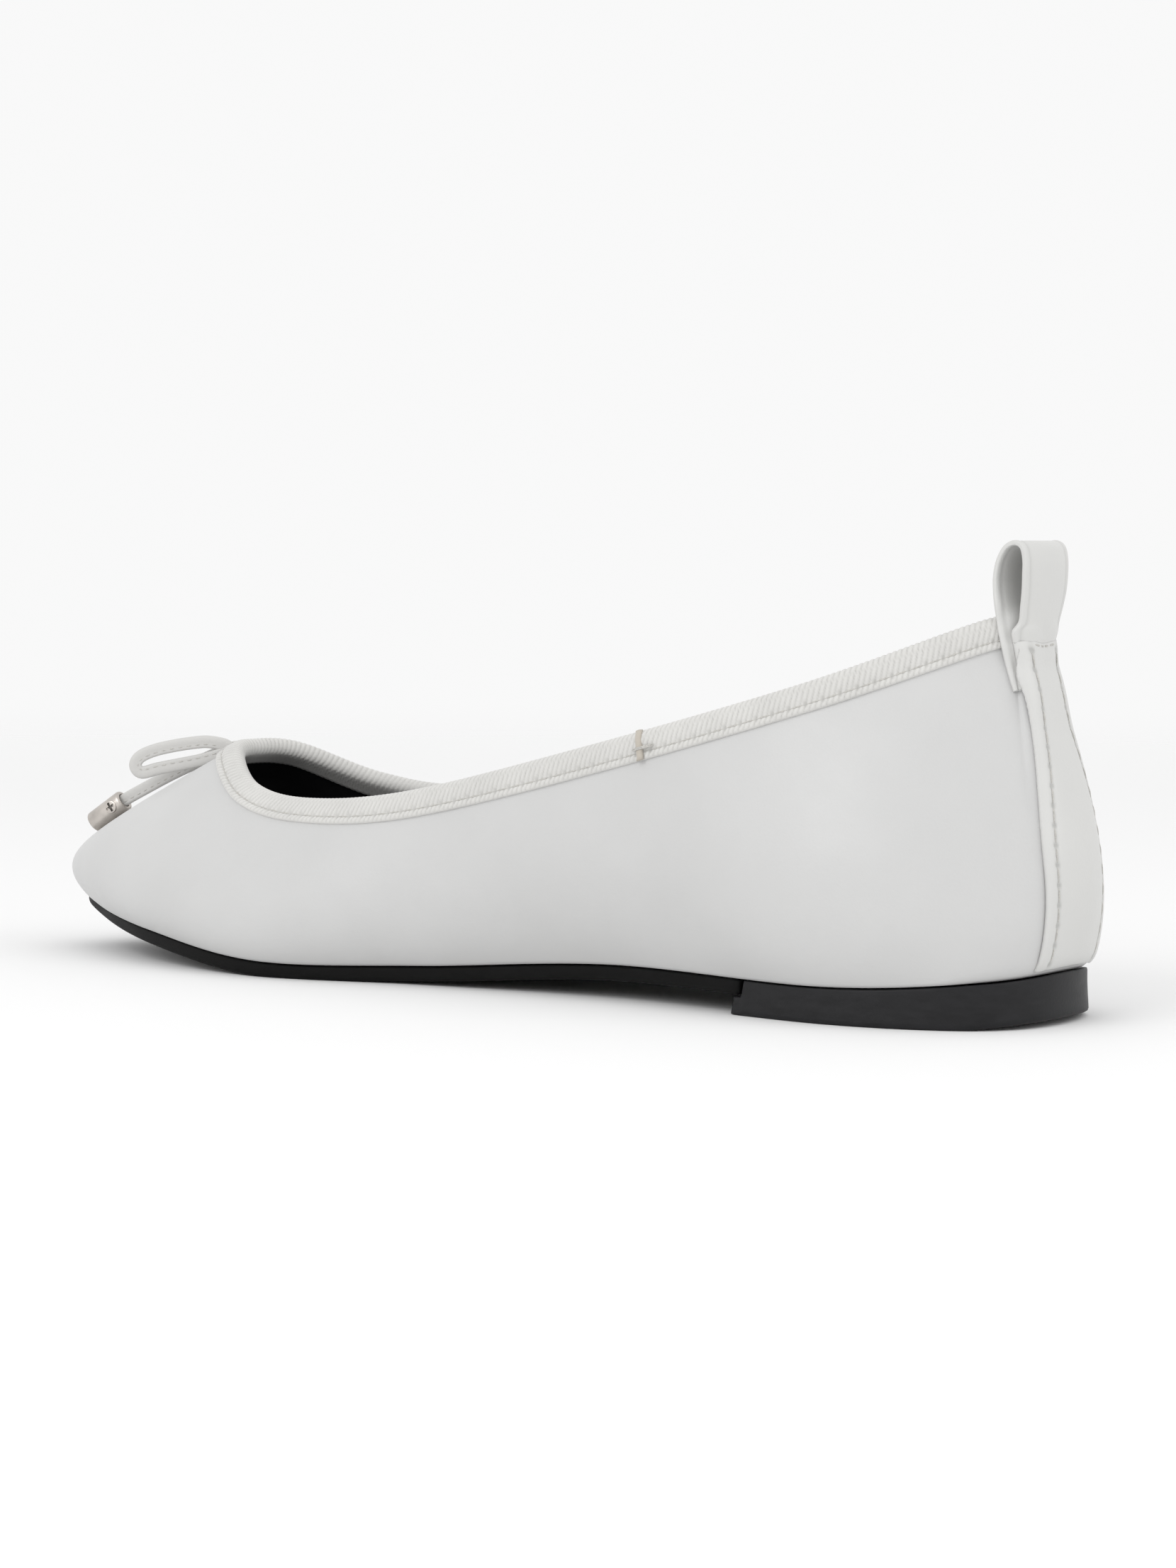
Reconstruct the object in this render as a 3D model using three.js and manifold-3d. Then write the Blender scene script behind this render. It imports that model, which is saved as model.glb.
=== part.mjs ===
// Ballet slipper for the right foot, as its separate pieces.
// Millimetres. +X points to the toe, +Y to the medial side, +Z up.
// The shoe's wall is one ruled net: each column is a rib from the feather edge (where wall meets sole)
// to the topline, and every sheet of the wall lies between two depths below that net.
import * as THREE from "three";
import { mergeVertices } from "three/addons/utils/BufferGeometryUtils.js";
import Module from "manifold-3d";

// ---- Overall sizes ----
const shoeLength = 245.5; // feather edge, back of heel to toe tip
const ballWidth = 72.5; // feather edge, across the ball
const backHeight = 74; // topline above the sole's top face, at the back
const heelRise = 7.2; // how far the heel end of the last stands above its ball
const toeSpring = 9.2; // how far the toe end of the last stands above its ball

// ---- Thicknesses and clearances ----
const gap = 0.3; // between pieces that lie on each other
const upperThickness = 1;
const stiffenerThickness = 0.8; // toe puff and heel counter
const liningThickness = 0.7;
const gripThickness = 0.6;
const bindingThickness = 0.6;
const strapThickness = 1.2;
const outsoleThickness = 3;
const outsoleToeThickness = 2; // it thins towards the toe
const outsoleInset = 0.5; // its edge stands back from the feather edge
const boardThickness = 1.8;
const foamThickness = 2;
const sockThickness = 0.8;
const shankThickness = 0.7;

// ---- Widths and places ----
const marginWidth = 11; // upper turned in under the insole board
const bindingWidth = 6.2; // topline to the binding's lower edge
const seatHeight = 4.6; // feather edge to the linings' lower edge, along the wall
const footbedClearance = 0.8; // foam and sock lining to the skin round them
const heelBreast = 58.5; // heel block's front face, from the back of the feather edge
const heelLap = 2.3; // outsole's end lies this far over the heel block
const heelInset = 0.2; // its top edge stands back from the feather edge
const heelFlare = 0.4; // heel block grows outwards towards the ground
const heelBevel = 1.3; // rounding up of the block's back lower edge
const heelBevelLength = 10;
const shankStart = 26;
const shankLength = 88;
const shankWidth = 14;
const fillerStart = 118;
const fillerEnd = 222;
const strapTopWidth = 14;
const strapFootWidth = 20;
const tabRows = 2.6; // doubled part of the strap, in rows of the net down from the topline
const tabThickening = 1.25;
const loopHeight = 13.4;
const loopDepth = 8.6;
const loopForward = 1.9; // loop's foot ahead of the strap, over the binding's crown
const cordWidth = 2.8;
const cordThickness = 1.6;
const knotRadii = [3, 3.1, 2]; // along the shoe, across it, and off the ridge below
const knotTilt = 29; // follows the ridge's fall, degrees
const knotForward = 6.8; // knot's centre ahead of the throat's front edge
const knotLift = 3.6; // knot's centre above the ridge below it
const agletRadius = 2.5;
const agletBoreRadius = 1.9;
const agletLength = 9.5;
const agletSocket = 6;
const screwShankRadius = 0.6;
const screwHeadRadius = 1.2;
const screwHeadHeight = 0.6;
const screwSlotWidth = 0.4;
const screwFromMouth = 2.6;

// ---- The last, drawn at its nominal size and graded to the sizes above ----
const nominal = { length: 245.5, ballWidth: 72.5, backHeight: 74 };
const gradeX = shoeLength / nominal.length;
const gradeY = ballWidth / nominal.ballWidth;
const gradeZ = backHeight / nominal.backHeight;
const soleTop = outsoleThickness + gap;

// Nine stations from the back of the heel to the toe tip. Feather edge: x, half width to the medial and
// lateral side, and the shares of heel rise and toe spring in its height.
const feather = [
  { x: 0, medial: 0, lateral: 0, heel: 1, toe: 0 },
  { x: 7.5, medial: 19.5, lateral: 19.5, heel: 0.8, toe: 0 },
  { x: 37.5, medial: 29, lateral: 26.5, heel: 0.52, toe: 0 },
  { x: 90.5, medial: 23, lateral: 27, heel: 0.52, toe: 0 },
  { x: 135.5, medial: 27, lateral: 33, heel: 0.1, toe: 0 },
  { x: 171.5, medial: 35.5, lateral: 37, heel: 0, toe: 0 },
  { x: 205.5, medial: 29.5, lateral: 27, heel: 0, toe: 0.4 },
  { x: 231.5, medial: 16.5, lateral: 12, heel: 0, toe: 0.7 },
  { x: 245.5, medial: 4, lateral: -4, heel: 0, toe: 1 },
];
// Topline: x, half widths, height above the sole's top face.
const topline = [
  { x: 8, medial: 0, lateral: 0, height: 74 },
  { x: 12, medial: 8.5, lateral: 9, height: 73.7 },
  { x: 45.5, medial: 24.5, lateral: 24.5, height: 61.2 },
  { x: 92.5, medial: 29, lateral: 29, height: 47.7 },
  { x: 135.5, medial: 29.5, lateral: 31.5, height: 37.2 },
  { x: 164.5, medial: 26, lateral: 27, height: 34.2 },
  { x: 183.5, medial: 20, lateral: 23, height: 36.2 },
  { x: 195.5, medial: 9.5, lateral: 11, height: 42.7 },
  { x: 198, medial: 0, lateral: 0, height: 44.2 },
];
// Rib shape at each station: outward lean at the feather edge and inward lean at the topline, in degrees,
// the two Bezier handles as shares of the rib's chord, and the share of the full margin that is turned in,
// which shrinks round the toe's tight curve.
const ribs = [
  { footLean: 24, topLean: 12, footHandle: 0.33, topHandle: 0.39, margin: 1 },
  { footLean: 16, topLean: 5, footHandle: 0.28, topHandle: 0.38, margin: 1 },
  { footLean: 31, topLean: 13, footHandle: 0.36, topHandle: 0.4, margin: 1 },
  { footLean: 35, topLean: 12, footHandle: 0.35, topHandle: 0.4, margin: 1 },
  { footLean: 40, topLean: 20, footHandle: 0.35, topHandle: 0.4, margin: 1 },
  { footLean: 45, topLean: 32, footHandle: 0.35, topHandle: 0.42, margin: 1 },
  { footLean: 48, topLean: 45, footHandle: 0.32, topHandle: 0.5, margin: 0.9 },
  { footLean: 45, topLean: 59, footHandle: 0.32, topHandle: 0.56, margin: 0.65 },
  { footLean: 44, topLean: 57, footHandle: 0.27, topHandle: 0.6, margin: 0.45 },
];

// ---- Net of the wall ----
const columnsPerStation = 4;
const stationCount = 2 * (feather.length - 1);
const columnCount = stationCount * columnsPerStation;
const toeColumn = columnCount / 2;
const marginRow = 0;
const featherRow = 1;
const seatRow = 2;
const wallStrips = 5; // between the seat row and the binding's lower edge
const bindingRow = seatRow + wallStrips;
const midBindingRow = bindingRow + 1;
const topRow = bindingRow + 2;
const edgeAllowance = gap + bindingThickness; // the binding stands this far over the cut edge

const up = new THREE.Vector3(0, 0, 1);
const wasm = await Module();
wasm.setup();

// The stations of both sides as one closed ring: medial from heel to toe, then lateral back to the heel.
function ringOf(stations, read) {
  const medial = stations.map((station) => read(station, 1));
  const lateral = stations.slice(1, -1).map((station) => read(station, -1));
  return medial.concat(lateral.reverse());
}

// Catmull-Rom weights of the four ring entries around a station position.
function ringWeights(position) {
  const start = Math.floor(position);
  const t = position - start;
  const index = (k) => (((start + k) % stationCount) + stationCount) % stationCount;
  return [
    [index(-1), 0.5 * (-t + 2 * t * t - t * t * t)],
    [index(0), 0.5 * (2 - 5 * t * t + 3 * t * t * t)],
    [index(1), 0.5 * (t + 4 * t * t - 3 * t * t * t)],
    [index(2), 0.5 * (-t * t + t * t * t)],
  ];
}

function scalarOn(ring, position) {
  return ringWeights(position).reduce((sum, [i, weight]) => sum + ring[i] * weight, 0);
}

function pointOn(ring, position) {
  const point = new THREE.Vector3();
  for (const [i, weight] of ringWeights(position)) point.addScaledVector(ring[i], weight);
  return point;
}

function tangentOn(ring, position) {
  const step = 1e-3;
  return pointOn(ring, position + step).sub(pointOn(ring, position - step)).normalize();
}

// The ring runs heel, medial side, toe, lateral side, so its outside lies to the left in plan.
function outwardOf(tangent) {
  return new THREE.Vector3(-tangent.y, tangent.x, 0).normalize();
}

const halfWidth = (station, side) => side * gradeY * (side > 0 ? station.medial : station.lateral);
const featherRing = ringOf(feather, (s, side) => {
  const height = soleTop + heelRise * s.heel + toeSpring * s.toe;
  return new THREE.Vector3(gradeX * s.x, halfWidth(s, side), height);
});
const toplineRing = ringOf(topline, (s, side) => {
  return new THREE.Vector3(gradeX * s.x, halfWidth(s, side), soleTop + gradeZ * s.height);
});
const ribRing = {};
for (const key of Object.keys(ribs[0])) ribRing[key] = ringOf(ribs, (rib) => rib[key]);

// One rib of the wall, from feather edge to topline, with its inward plan direction at the foot.
function ribAt(position) {
  const foot = pointOn(featherRing, position);
  const top = pointOn(toplineRing, position);
  const footOut = outwardOf(tangentOn(featherRing, position));
  const topTangent = tangentOn(toplineRing, position);
  const topOut = outwardOf(topTangent);
  const footLean = THREE.MathUtils.degToRad(scalarOn(ribRing.footLean, position));
  const topLean = THREE.MathUtils.degToRad(scalarOn(ribRing.topLean, position));
  const chord = foot.distanceTo(top);
  const rise = footOut.clone().multiplyScalar(Math.sin(footLean));
  rise.addScaledVector(up, Math.cos(footLean));
  const arrive = topOut.clone().multiplyScalar(-Math.sin(topLean));
  arrive.addScaledVector(up, Math.cos(topLean));
  arrive.addScaledVector(topTangent, -arrive.dot(topTangent)).normalize();
  const low = foot.clone().addScaledVector(rise, chord * scalarOn(ribRing.footHandle, position));
  const high = top.clone().addScaledVector(arrive, -chord * scalarOn(ribRing.topHandle, position));
  return { foot, footOut, arrive, curve: new THREE.CubicBezierCurve3(foot, low, high, top) };
}

// The feather edge's height at a given x, found on the medial side between the two ends of the last.
function featherHeightAt(x) {
  let [low, high] = [0, stationCount / 2];
  for (let pass = 0; pass < 24; pass++) {
    const middle = (low + high) / 2;
    if (pointOn(featherRing, middle).x < x) low = middle;
    else high = middle;
  }
  return pointOn(featherRing, low).z;
}

// One column of the net: points from the margin's inner edge, round the feather edge, up to the topline.
function columnOfNet(index) {
  const { foot, footOut, arrive, curve } = ribAt(index / columnsPerStation);
  const length = curve.getLength();
  const at = (distance) => curve.getPointAt(distance / length);
  const margin = marginWidth * scalarOn(ribRing.margin, index / columnsPerStation);
  const marginEdge = foot.clone().addScaledVector(footOut, -margin);
  marginEdge.z = featherHeightAt(marginEdge.x);
  const points = [marginEdge, foot.clone()];
  const wallTop = length - bindingWidth;
  for (let strip = 0; strip <= wallStrips; strip++)
    points.push(at(seatHeight + ((wallTop - seatHeight) * strip) / wallStrips));
  points.push(at(length - bindingWidth / 2));
  points.push(at(length - edgeAllowance));
  return { points, arrive };
}

const net = Array.from({ length: columnCount }, (_, index) => columnOfNet(index));
const wrap = (column) => ((column % columnCount) + columnCount) % columnCount;
const netPoint = (column, row) => net[wrap(column)].points[row];

// Outward offset at a net point: along the mean of the faces around it, long enough to clear each face.
function offsetAt(column, row, lowestRow) {
  const faces = [];
  for (const [side, level] of [[-1, -1], [-1, 1], [1, -1], [1, 1]]) {
    if (row + level < lowestRow || row + level > topRow) continue;
    const here = netPoint(column, row);
    const along = netPoint(column + side, row).clone().sub(here);
    const climb = netPoint(column, row + level).clone().sub(here);
    faces.push(climb.cross(along).multiplyScalar(side * level).normalize());
  }
  const mean = faces.reduce((sum, face) => sum.add(face), new THREE.Vector3()).normalize();
  const reach = faces.reduce((sum, face) => sum + face.dot(mean), 0);
  const square = faces.reduce((sum, face) => sum + face.dot(mean) ** 2, 0);
  return mean.multiplyScalar(reach / square);
}
for (let column = 0; column < columnCount; column++) {
  net[column].offsets = net[column].points.map((_, row) => offsetAt(column, row, marginRow));
  // Pieces on the outside follow the wall alone, without the turn under the sole.
  net[column].wallOffsets = net[column].points.map((_, row) =>
    offsetAt(column, Math.max(row, seatRow), featherRow),
  );
}

// A point at a depth below the net's surface, for a column or row that may lie between two of the net.
function wallPoint(column, row, depth) {
  const columnStart = Math.floor(column);
  const rowStart = Math.min(Math.floor(row), topRow - 1);
  const point = new THREE.Vector3();
  for (const [c, columnShare] of [
    [columnStart, 1 - (column - columnStart)],
    [columnStart + 1, column - columnStart],
  ])
    for (const [r, rowShare] of [
      [rowStart, 1 - (row - rowStart)],
      [rowStart + 1, row - rowStart],
    ]) {
      const { offsets, wallOffsets } = net[wrap(c)];
      const share = columnShare * rowShare;
      point.addScaledVector(netPoint(c, r), share);
      point.addScaledVector(depth < 0 ? wallOffsets[r] : offsets[r], -depth * share);
    }
  return point;
}

// ---- Closed bodies from two grids of points ----
function bodyFromTriangles(triangles) {
  const far = (a, b) => a.distanceToSquared(b) > 1e-10;
  const kept = triangles.filter(([a, b, c]) => far(a, b) && far(b, c) && far(c, a));
  let volume = 0;
  for (const [a, b, c] of kept) volume += a.dot(b.clone().cross(c));
  const facing = volume > 0 ? kept : kept.map(([a, b, c]) => [a, c, b]);
  const geometry = new THREE.BufferGeometry().setFromPoints(facing.flat());
  geometry.computeVertexNormals();
  return geometry;
}

// The body between two grids of the same size. A grid is a list of columns, each a list of points.
function bodyBetween(front, back, closedRing = false) {
  const triangles = [];
  const quad = (a, b, c, d) => triangles.push([a, b, c], [a, c, d]);
  const columns = front.length;
  const rows = front[0].length;
  for (let i = 0; i < (closedRing ? columns : columns - 1); i++) {
    const j = (i + 1) % columns;
    for (let r = 0; r < rows - 1; r++) {
      quad(front[i][r], front[i][r + 1], front[j][r + 1], front[j][r]);
      quad(back[i][r], back[j][r], back[j][r + 1], back[i][r + 1]);
    }
    quad(front[i][0], front[j][0], back[j][0], back[i][0]);
    quad(back[i][rows - 1], back[j][rows - 1], front[j][rows - 1], front[i][rows - 1]);
  }
  if (!closedRing)
    for (let r = 0; r < rows - 1; r++) {
      const last = columns - 1;
      quad(back[0][r], back[0][r + 1], front[0][r + 1], front[0][r]);
      quad(front[last][r], front[last][r + 1], back[last][r + 1], back[last][r]);
    }
  return bodyFromTriangles(triangles);
}

// The ring swept by a closed section: each section is a list of points in order round it.
function bodyRoundRing(sections) {
  const triangles = [];
  sections.forEach((section, i) => {
    const next = sections[(i + 1) % sections.length];
    section.forEach((point, k) => {
      const after = (k + 1) % section.length;
      triangles.push([point, section[after], next[after]], [point, next[after], next[k]]);
    });
  });
  return bodyFromTriangles(triangles);
}

// ---- Depths of the layers inside the upper ----
const counterColumns = 2 * columnsPerStation; // heel counter's reach, each way from the back
const counterTopRow = 6;
const puffColumns = columnsPerStation; // toe puff's reach, each way from the toe
const puffTopRow = 5;
const stiffenerDepth = upperThickness + gap;
const stiffenerStep = stiffenerThickness + gap;

// Columns away from the back centre, and from the toe centre.
const fromBack = (column) => Math.min(wrap(column), columnCount - wrap(column));
const fromToe = (column) => Math.abs(wrap(column) - toeColumn);

function overStiffener(column, row) {
  const atCounter = fromBack(column) <= counterColumns && row <= counterTopRow;
  const atPuff = fromToe(column) <= puffColumns && row <= puffTopRow;
  return atCounter || atPuff;
}

function liningDepth(column, row) {
  return upperThickness + gap + (overStiffener(column, row) ? stiffenerStep : 0);
}
const liningBackDepth = (column, row) => liningDepth(column, row) + liningThickness;

// A sheet of the wall between two depths. Depths are read at the net's own points.
function wallSheet(columns, rows, outerDepth, innerDepth, closedRing = false) {
  const grid = (depth) => columns.map((c) => rows.map((r) => wallPoint(c, r, depth(c, r))));
  return bodyBetween(grid(outerDepth), grid(innerDepth), closedRing);
}

const range = (from, to) => Array.from({ length: to - from + 1 }, (_, i) => from + i);
const allColumns = range(0, columnCount - 1);
const constant = (value) => () => value;

// ---- Sheets of the sole ----
// The outline inside a skin of the wall, at a height above the feather edge.
function outlineInside(depthOf, height, clearance) {
  const rise = (point) => point.z - featherHeightAt(point.x);
  return allColumns.map((column) => {
    const wall = range(featherRow, bindingRow).map((row) => {
      return wallPoint(column, row, depthOf(column, Math.max(row, seatRow)));
    });
    const above = Math.max(1, wall.findIndex((point) => rise(point) > height));
    const [low, high] = [wall[above - 1], wall[above]];
    const t = THREE.MathUtils.clamp((height - rise(low)) / (rise(high) - rise(low)), 0, 1);
    const point = low.clone().lerp(high, t);
    const out = outwardOf(tangentOn(featherRing, column / columnsPerStation));
    return point.addScaledVector(out, -clearance);
  });
}

function outlineFromFeather(inset) {
  return allColumns.map((column) => {
    const out = outwardOf(tangentOn(featherRing, column / columnsPerStation));
    return netPoint(column, featherRow).clone().addScaledVector(out, -inset);
  });
}

// The point of one side of an outline at a given x: side 1 is medial, -1 lateral.
function sidePointAt(outline, side, x) {
  const column = (k) => outline[wrap(side * k)];
  for (let k = 0; k < toeColumn; k++) {
    const [a, b] = [column(k), column(k + 1)];
    if (x <= b.x || k === toeColumn - 1) {
      const t = THREE.MathUtils.clamp((x - a.x) / (b.x - a.x), 0, 1);
      return a.clone().lerp(b, t);
    }
  }
}

const featherOutline = outlineFromFeather(0);

// Stations in x for a sheet: the outline's own, between two ends. A repeated x makes a step.
function sheetStations(outline, from, to, extra = []) {
  const own = range(0, toeColumn).map((k) => outline[k].x);
  const inner = own.filter((x) => x > from && x < to);
  const ends = [Math.max(from, own[0]), Math.min(to, own[toeColumn])];
  return [...new Set([...ends, ...inner]), ...extra].sort((a, b) => a - b);
}

// One face of a sheet: rungs across the outline at each station, at heights given by a function of x.
const rungParts = 4;
function sheetFace(outline, stations, heightAt) {
  return stations.map((x, index) => {
    const medial = sidePointAt(outline, 1, x);
    const lateral = sidePointAt(outline, -1, x);
    return range(0, rungParts).map((part) => {
      const point = medial.clone().lerp(lateral, part / rungParts);
      return point.setZ(heightAt(point.x, index));
    });
  });
}

// A sheet of the bottom that follows the feather edge's height, between two levels above it.
function bottomSheet(outline, from, to, bottomLevel, topLevel) {
  const stations = sheetStations(outline, from, to);
  const face = (level) => sheetFace(outline, stations, (x) => featherHeightAt(x) + level);
  return bodyBetween(face(topLevel), face(bottomLevel));
}

// ---- Levels above the feather edge ----
const fillerBottom = 0;
const marginTop = upperThickness;
const boardBottom = marginTop + 2 * gap; // the margin lies in flat facets, so the board stays clear of them
const boardTop = boardBottom + boardThickness;
const foamBottom = boardTop + gap;
const foamTop = foamBottom + foamThickness;
const sockBottom = foamTop + gap;
const sockTop = sockBottom + sockThickness;

// ---- The pieces ----
const shoe = new THREE.Group();
const colours = {
  upper: { color: 0xd4d3d0, roughness: 0.45, metalness: 0.15 },
  ribbon: { color: 0xdad8d4, roughness: 0.8, metalness: 0 },
  strap: { color: 0xdddcd8, roughness: 0.5, metalness: 0.1 },
  cord: { color: 0xd8d7d3, roughness: 0.5, metalness: 0.1 },
  metal: { color: 0xbdb6ad, roughness: 0.3, metalness: 0.9 },
  sole: { color: 0x2b2a2d, roughness: 0.6, metalness: 0 },
  lining: { color: 0x131213, roughness: 0.7, metalness: 0 },
  board: { color: 0xa88a66, roughness: 0.9, metalness: 0 },
  stiffener: { color: 0xc9bfae, roughness: 0.8, metalness: 0 },
  steel: { color: 0x8d9095, roughness: 0.35, metalness: 0.9 },
  foam: { color: 0x4a4a4c, roughness: 0.95, metalness: 0 },
};

function addPiece(name, geometry, finish, parent = shoe) {
  const mesh = new THREE.Mesh(geometry, new THREE.MeshStandardMaterial(colours[finish]));
  mesh.name = name;
  parent.add(mesh);
  return mesh;
}

function upperBody() {
  const rows = range(marginRow, topRow);
  return wallSheet(allColumns, rows, constant(0), constant(upperThickness), true);
}

// The lining is in two parts that butt at the waist on both sides.
const liningJoint = 4 * columnsPerStation;
const buttHalfGap = 0.05; // of a column's width

function liningBody(from, to) {
  const columns = [from + buttHalfGap, ...range(from + 1, to - 1), to - buttHalfGap];
  const depth = (c, r) => liningDepth(c, r);
  const back = (c, r) => liningBackDepth(c, r);
  return wallSheet(columns, range(seatRow, topRow), depth, back);
}

function stiffenerBody(from, to, lastRow) {
  const inner = constant(stiffenerDepth + stiffenerThickness);
  return wallSheet(range(from, to), range(seatRow, lastRow), constant(stiffenerDepth), inner);
}

const gripColumns = 3;
const gripRows = range(seatRow + 2, bindingRow - 1);
const gripDepth = (column, row) => liningBackDepth(column, row) + gap;

function gripBody() {
  const inner = (c, r) => gripDepth(c, r) + gripThickness;
  return wallSheet(range(-gripColumns, gripColumns), gripRows, gripDepth, inner);
}

// Ribbon folded over the edge: two legs down the wall and a rounded crown over upper and lining.
function bindingBody() {
  const stack = upperThickness + gap + liningThickness;
  const outsideLeg = [-gap, -gap - bindingThickness];
  const insideLeg = [stack + gap, stack + gap + bindingThickness];
  const sections = allColumns.map((column) => {
    const leg = (depth) => [bindingRow, midBindingRow, topRow].map((r) => wallPoint(column, r, depth));
    const crown = (rise, spread) => {
      const lift = net[column].arrive.clone().multiplyScalar(rise);
      return [stack / 2 - spread, stack / 2 + spread].map((depth) => {
        return wallPoint(column, topRow, Math.max(depth, 0)).add(lift);
      });
    };
    const outer = [...leg(outsideLeg[1]), ...crown(gap + bindingThickness, 0.8), ...leg(insideLeg[1]).reverse()];
    const inner = [...leg(insideLeg[0]), ...crown(gap, 1).reverse(), ...leg(outsideLeg[0]).reverse()];
    return [...outer, ...inner];
  });
  return bodyRoundRing(sections);
}

function outsoleBody() {
  const outline = outlineFromFeather(outsoleInset);
  const stations = sheetStations(outline, heelBreast - heelLap + gap, shoeLength);
  const topAt = (x) => featherHeightAt(x) - gap;
  const thicknessAt = (x) => {
    const share = THREE.MathUtils.smoothstep(x / shoeLength, 0.8, 1);
    return THREE.MathUtils.lerp(outsoleThickness, outsoleToeThickness, share);
  };
  const bottomAt = (x) => Math.max(0, topAt(x) - thicknessAt(x));
  return bodyBetween(sheetFace(outline, stations, topAt), sheetFace(outline, stations, bottomAt));
}

// Full height at the back; its front part lies under the outsole's end, so its top has a step.
function heelBody() {
  const step = heelBreast - heelLap;
  const topOutline = outlineFromFeather(heelInset);
  const footOutline = outlineFromFeather(heelInset - heelFlare);
  const stations = sheetStations(topOutline, 0, heelBreast, [step, step]);
  const stepIndex = stations.indexOf(step);
  const under = (x) => featherHeightAt(x) - outsoleThickness - 2 * gap;
  const top = sheetFace(topOutline, stations, (x, index) =>
    index > stepIndex ? under(x) : featherHeightAt(x) - gap,
  );
  const bevelAt = (x) => heelBevel * THREE.MathUtils.clamp(1 - x / heelBevelLength, 0, 1);
  return bodyBetween(top, sheetFace(footOutline, stations, bevelAt));
}

function boardBody() {
  const outline = outlineInside(constant(upperThickness), boardBottom, gap);
  return bottomSheet(outline, 0, shoeLength, boardBottom, boardTop);
}

// Foam and sock lining fill the space inside the innermost skin.
function footbedSheet(bottomLevel, topLevel) {
  const innermost = (column, row) => {
    const atGrip = fromBack(column) <= gripColumns ? gap + gripThickness : 0;
    return liningBackDepth(column, row) + atGrip;
  };
  const outline = outlineInside(innermost, bottomLevel, footbedClearance);
  return bottomSheet(outline, 0, shoeLength, bottomLevel, topLevel);
}

function shankBody() {
  const steps = 14;
  const face = (level) =>
    range(0, steps).map((step) => {
      const x = shankStart + (shankLength * step) / steps;
      const middle = sidePointAt(featherOutline, 1, x).lerp(sidePointAt(featherOutline, -1, x), 0.5);
      const fromEnd = Math.min(step, steps - step) / steps;
      const half = (shankWidth / 2) * Math.min(1, Math.sqrt(0.3 + fromEnd * 6));
      return [1, -1].map((side) => new THREE.Vector3(x, middle.y + side * half, middle.z + level));
    });
  return bodyBetween(face(fillerBottom + shankThickness), face(fillerBottom));
}

function fillerBody() {
  const outline = outlineFromFeather(marginWidth + 2 * gap);
  return bottomSheet(outline, fillerStart, fillerEnd, fillerBottom, marginTop);
}

// Column position at a distance from the back centre, measured along a row.
function columnAtDistance(row, distance) {
  let travelled = 0;
  for (let column = 0; ; column++) {
    const step = netPoint(column, row).distanceTo(netPoint(column + 1, row));
    if (travelled + step >= distance) return column + (distance - travelled) / step;
    travelled += step;
  }
}

// Back strap, sewn up the back seam outside the upper and the binding. Its top part is doubled.
const strapClear = -gap - bindingThickness - gap; // over the binding
function strapBody() {
  const footRow = featherRow + 0.15;
  const tabRow = topRow - tabRows;
  const rows = [footRow, ...range(seatRow, Math.floor(tabRow)), tabRow, ...range(bindingRow, topRow)];
  const outsideAt = (row) => (row >= bindingRow ? strapClear : -gap);
  const thicknessAt = (row) => (row >= tabRow ? tabThickening : 1) * strapThickness;
  const gridAt = (depthAt) => {
    const lines = rows.map((row) => {
      const share = (row - footRow) / (topRow - footRow);
      const half = THREE.MathUtils.lerp(strapFootWidth, strapTopWidth, share) / 2;
      const edge = columnAtDistance(Math.round(row), half);
      const middle = Math.min(2, edge - 0.2);
      return [-edge, -middle, -1, 0, 1, middle, edge].map((c) => wallPoint(c, row, depthAt(row)));
    });
    return lines[0].map((_, k) => lines.map((line) => line[k]));
  };
  return bodyBetween(gridAt((r) => outsideAt(r) - thicknessAt(r)), gridAt(outsideAt));
}

// Pull loop: a band bent into a teardrop, pinched where it leaves the strap's top.
const loopFoot = wallPoint(0, topRow, strapClear - strapThickness / 2);
loopFoot.x += loopForward;
loopFoot.z += edgeAllowance + 2 * gap;
function loopBody() {
  const outline = (inset) => {
    const width = loopDepth - 2 * inset;
    const height = loopHeight - inset;
    const foot = inset * 2.2;
    const path = new THREE.Path();
    path.moveTo(0, foot);
    path.bezierCurveTo(0.1 * width, height * 0.22, 0.5 * width, height * 0.3, 0.62 * width, height * 0.62);
    path.bezierCurveTo(0.72 * width, height * 0.98, 0.5 * width, height, 0.25 * width, height);
    path.bezierCurveTo(-0.2 * width, height, -0.42 * width, height * 0.8, -0.36 * width, height * 0.5);
    path.bezierCurveTo(-0.3 * width, height * 0.25, -0.08 * width, height * 0.2, 0, foot);
    return path.getPoints(7);
  };
  const shape = new THREE.Shape(outline(0));
  shape.holes.push(new THREE.Path(outline(strapThickness)));
  const band = new THREE.ExtrudeGeometry(shape, { depth: strapTopWidth, bevelEnabled: false });
  band.rotateX(Math.PI / 2);
  band.translate(loopFoot.x, strapTopWidth / 2, loopFoot.z);
  return band;
}

// ---- Bow ----
// Strand routes in the vertical plane of each strand: distance from the knot's centre, and height.
const loopRoute = [
  [4, 0.9], [7, 1], [9.6, 0.6], [14.3, -0.6], [19, -2.2], [22.2, -4], [23.2, -5.9],
  [21.8, -7.4], [18.1, -7.1], [13.6, -6], [9.6, -4.8], [6.5, -3.6], [4.7, -2.6],
];
const tailRoute = [
  [4.7, -2.6], [7.7, -4], [12.3, -5.9], [18.3, -8.6], [24.3, -11.6], [29.6, -14.4], [34.1, -17.5],
];
const mouth = tailRoute[tailRoute.length - 2];
const strandAngles = { loop_medial: 36, loop_lateral: -62, tail_medial: 11, tail_lateral: -14 };

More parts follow.
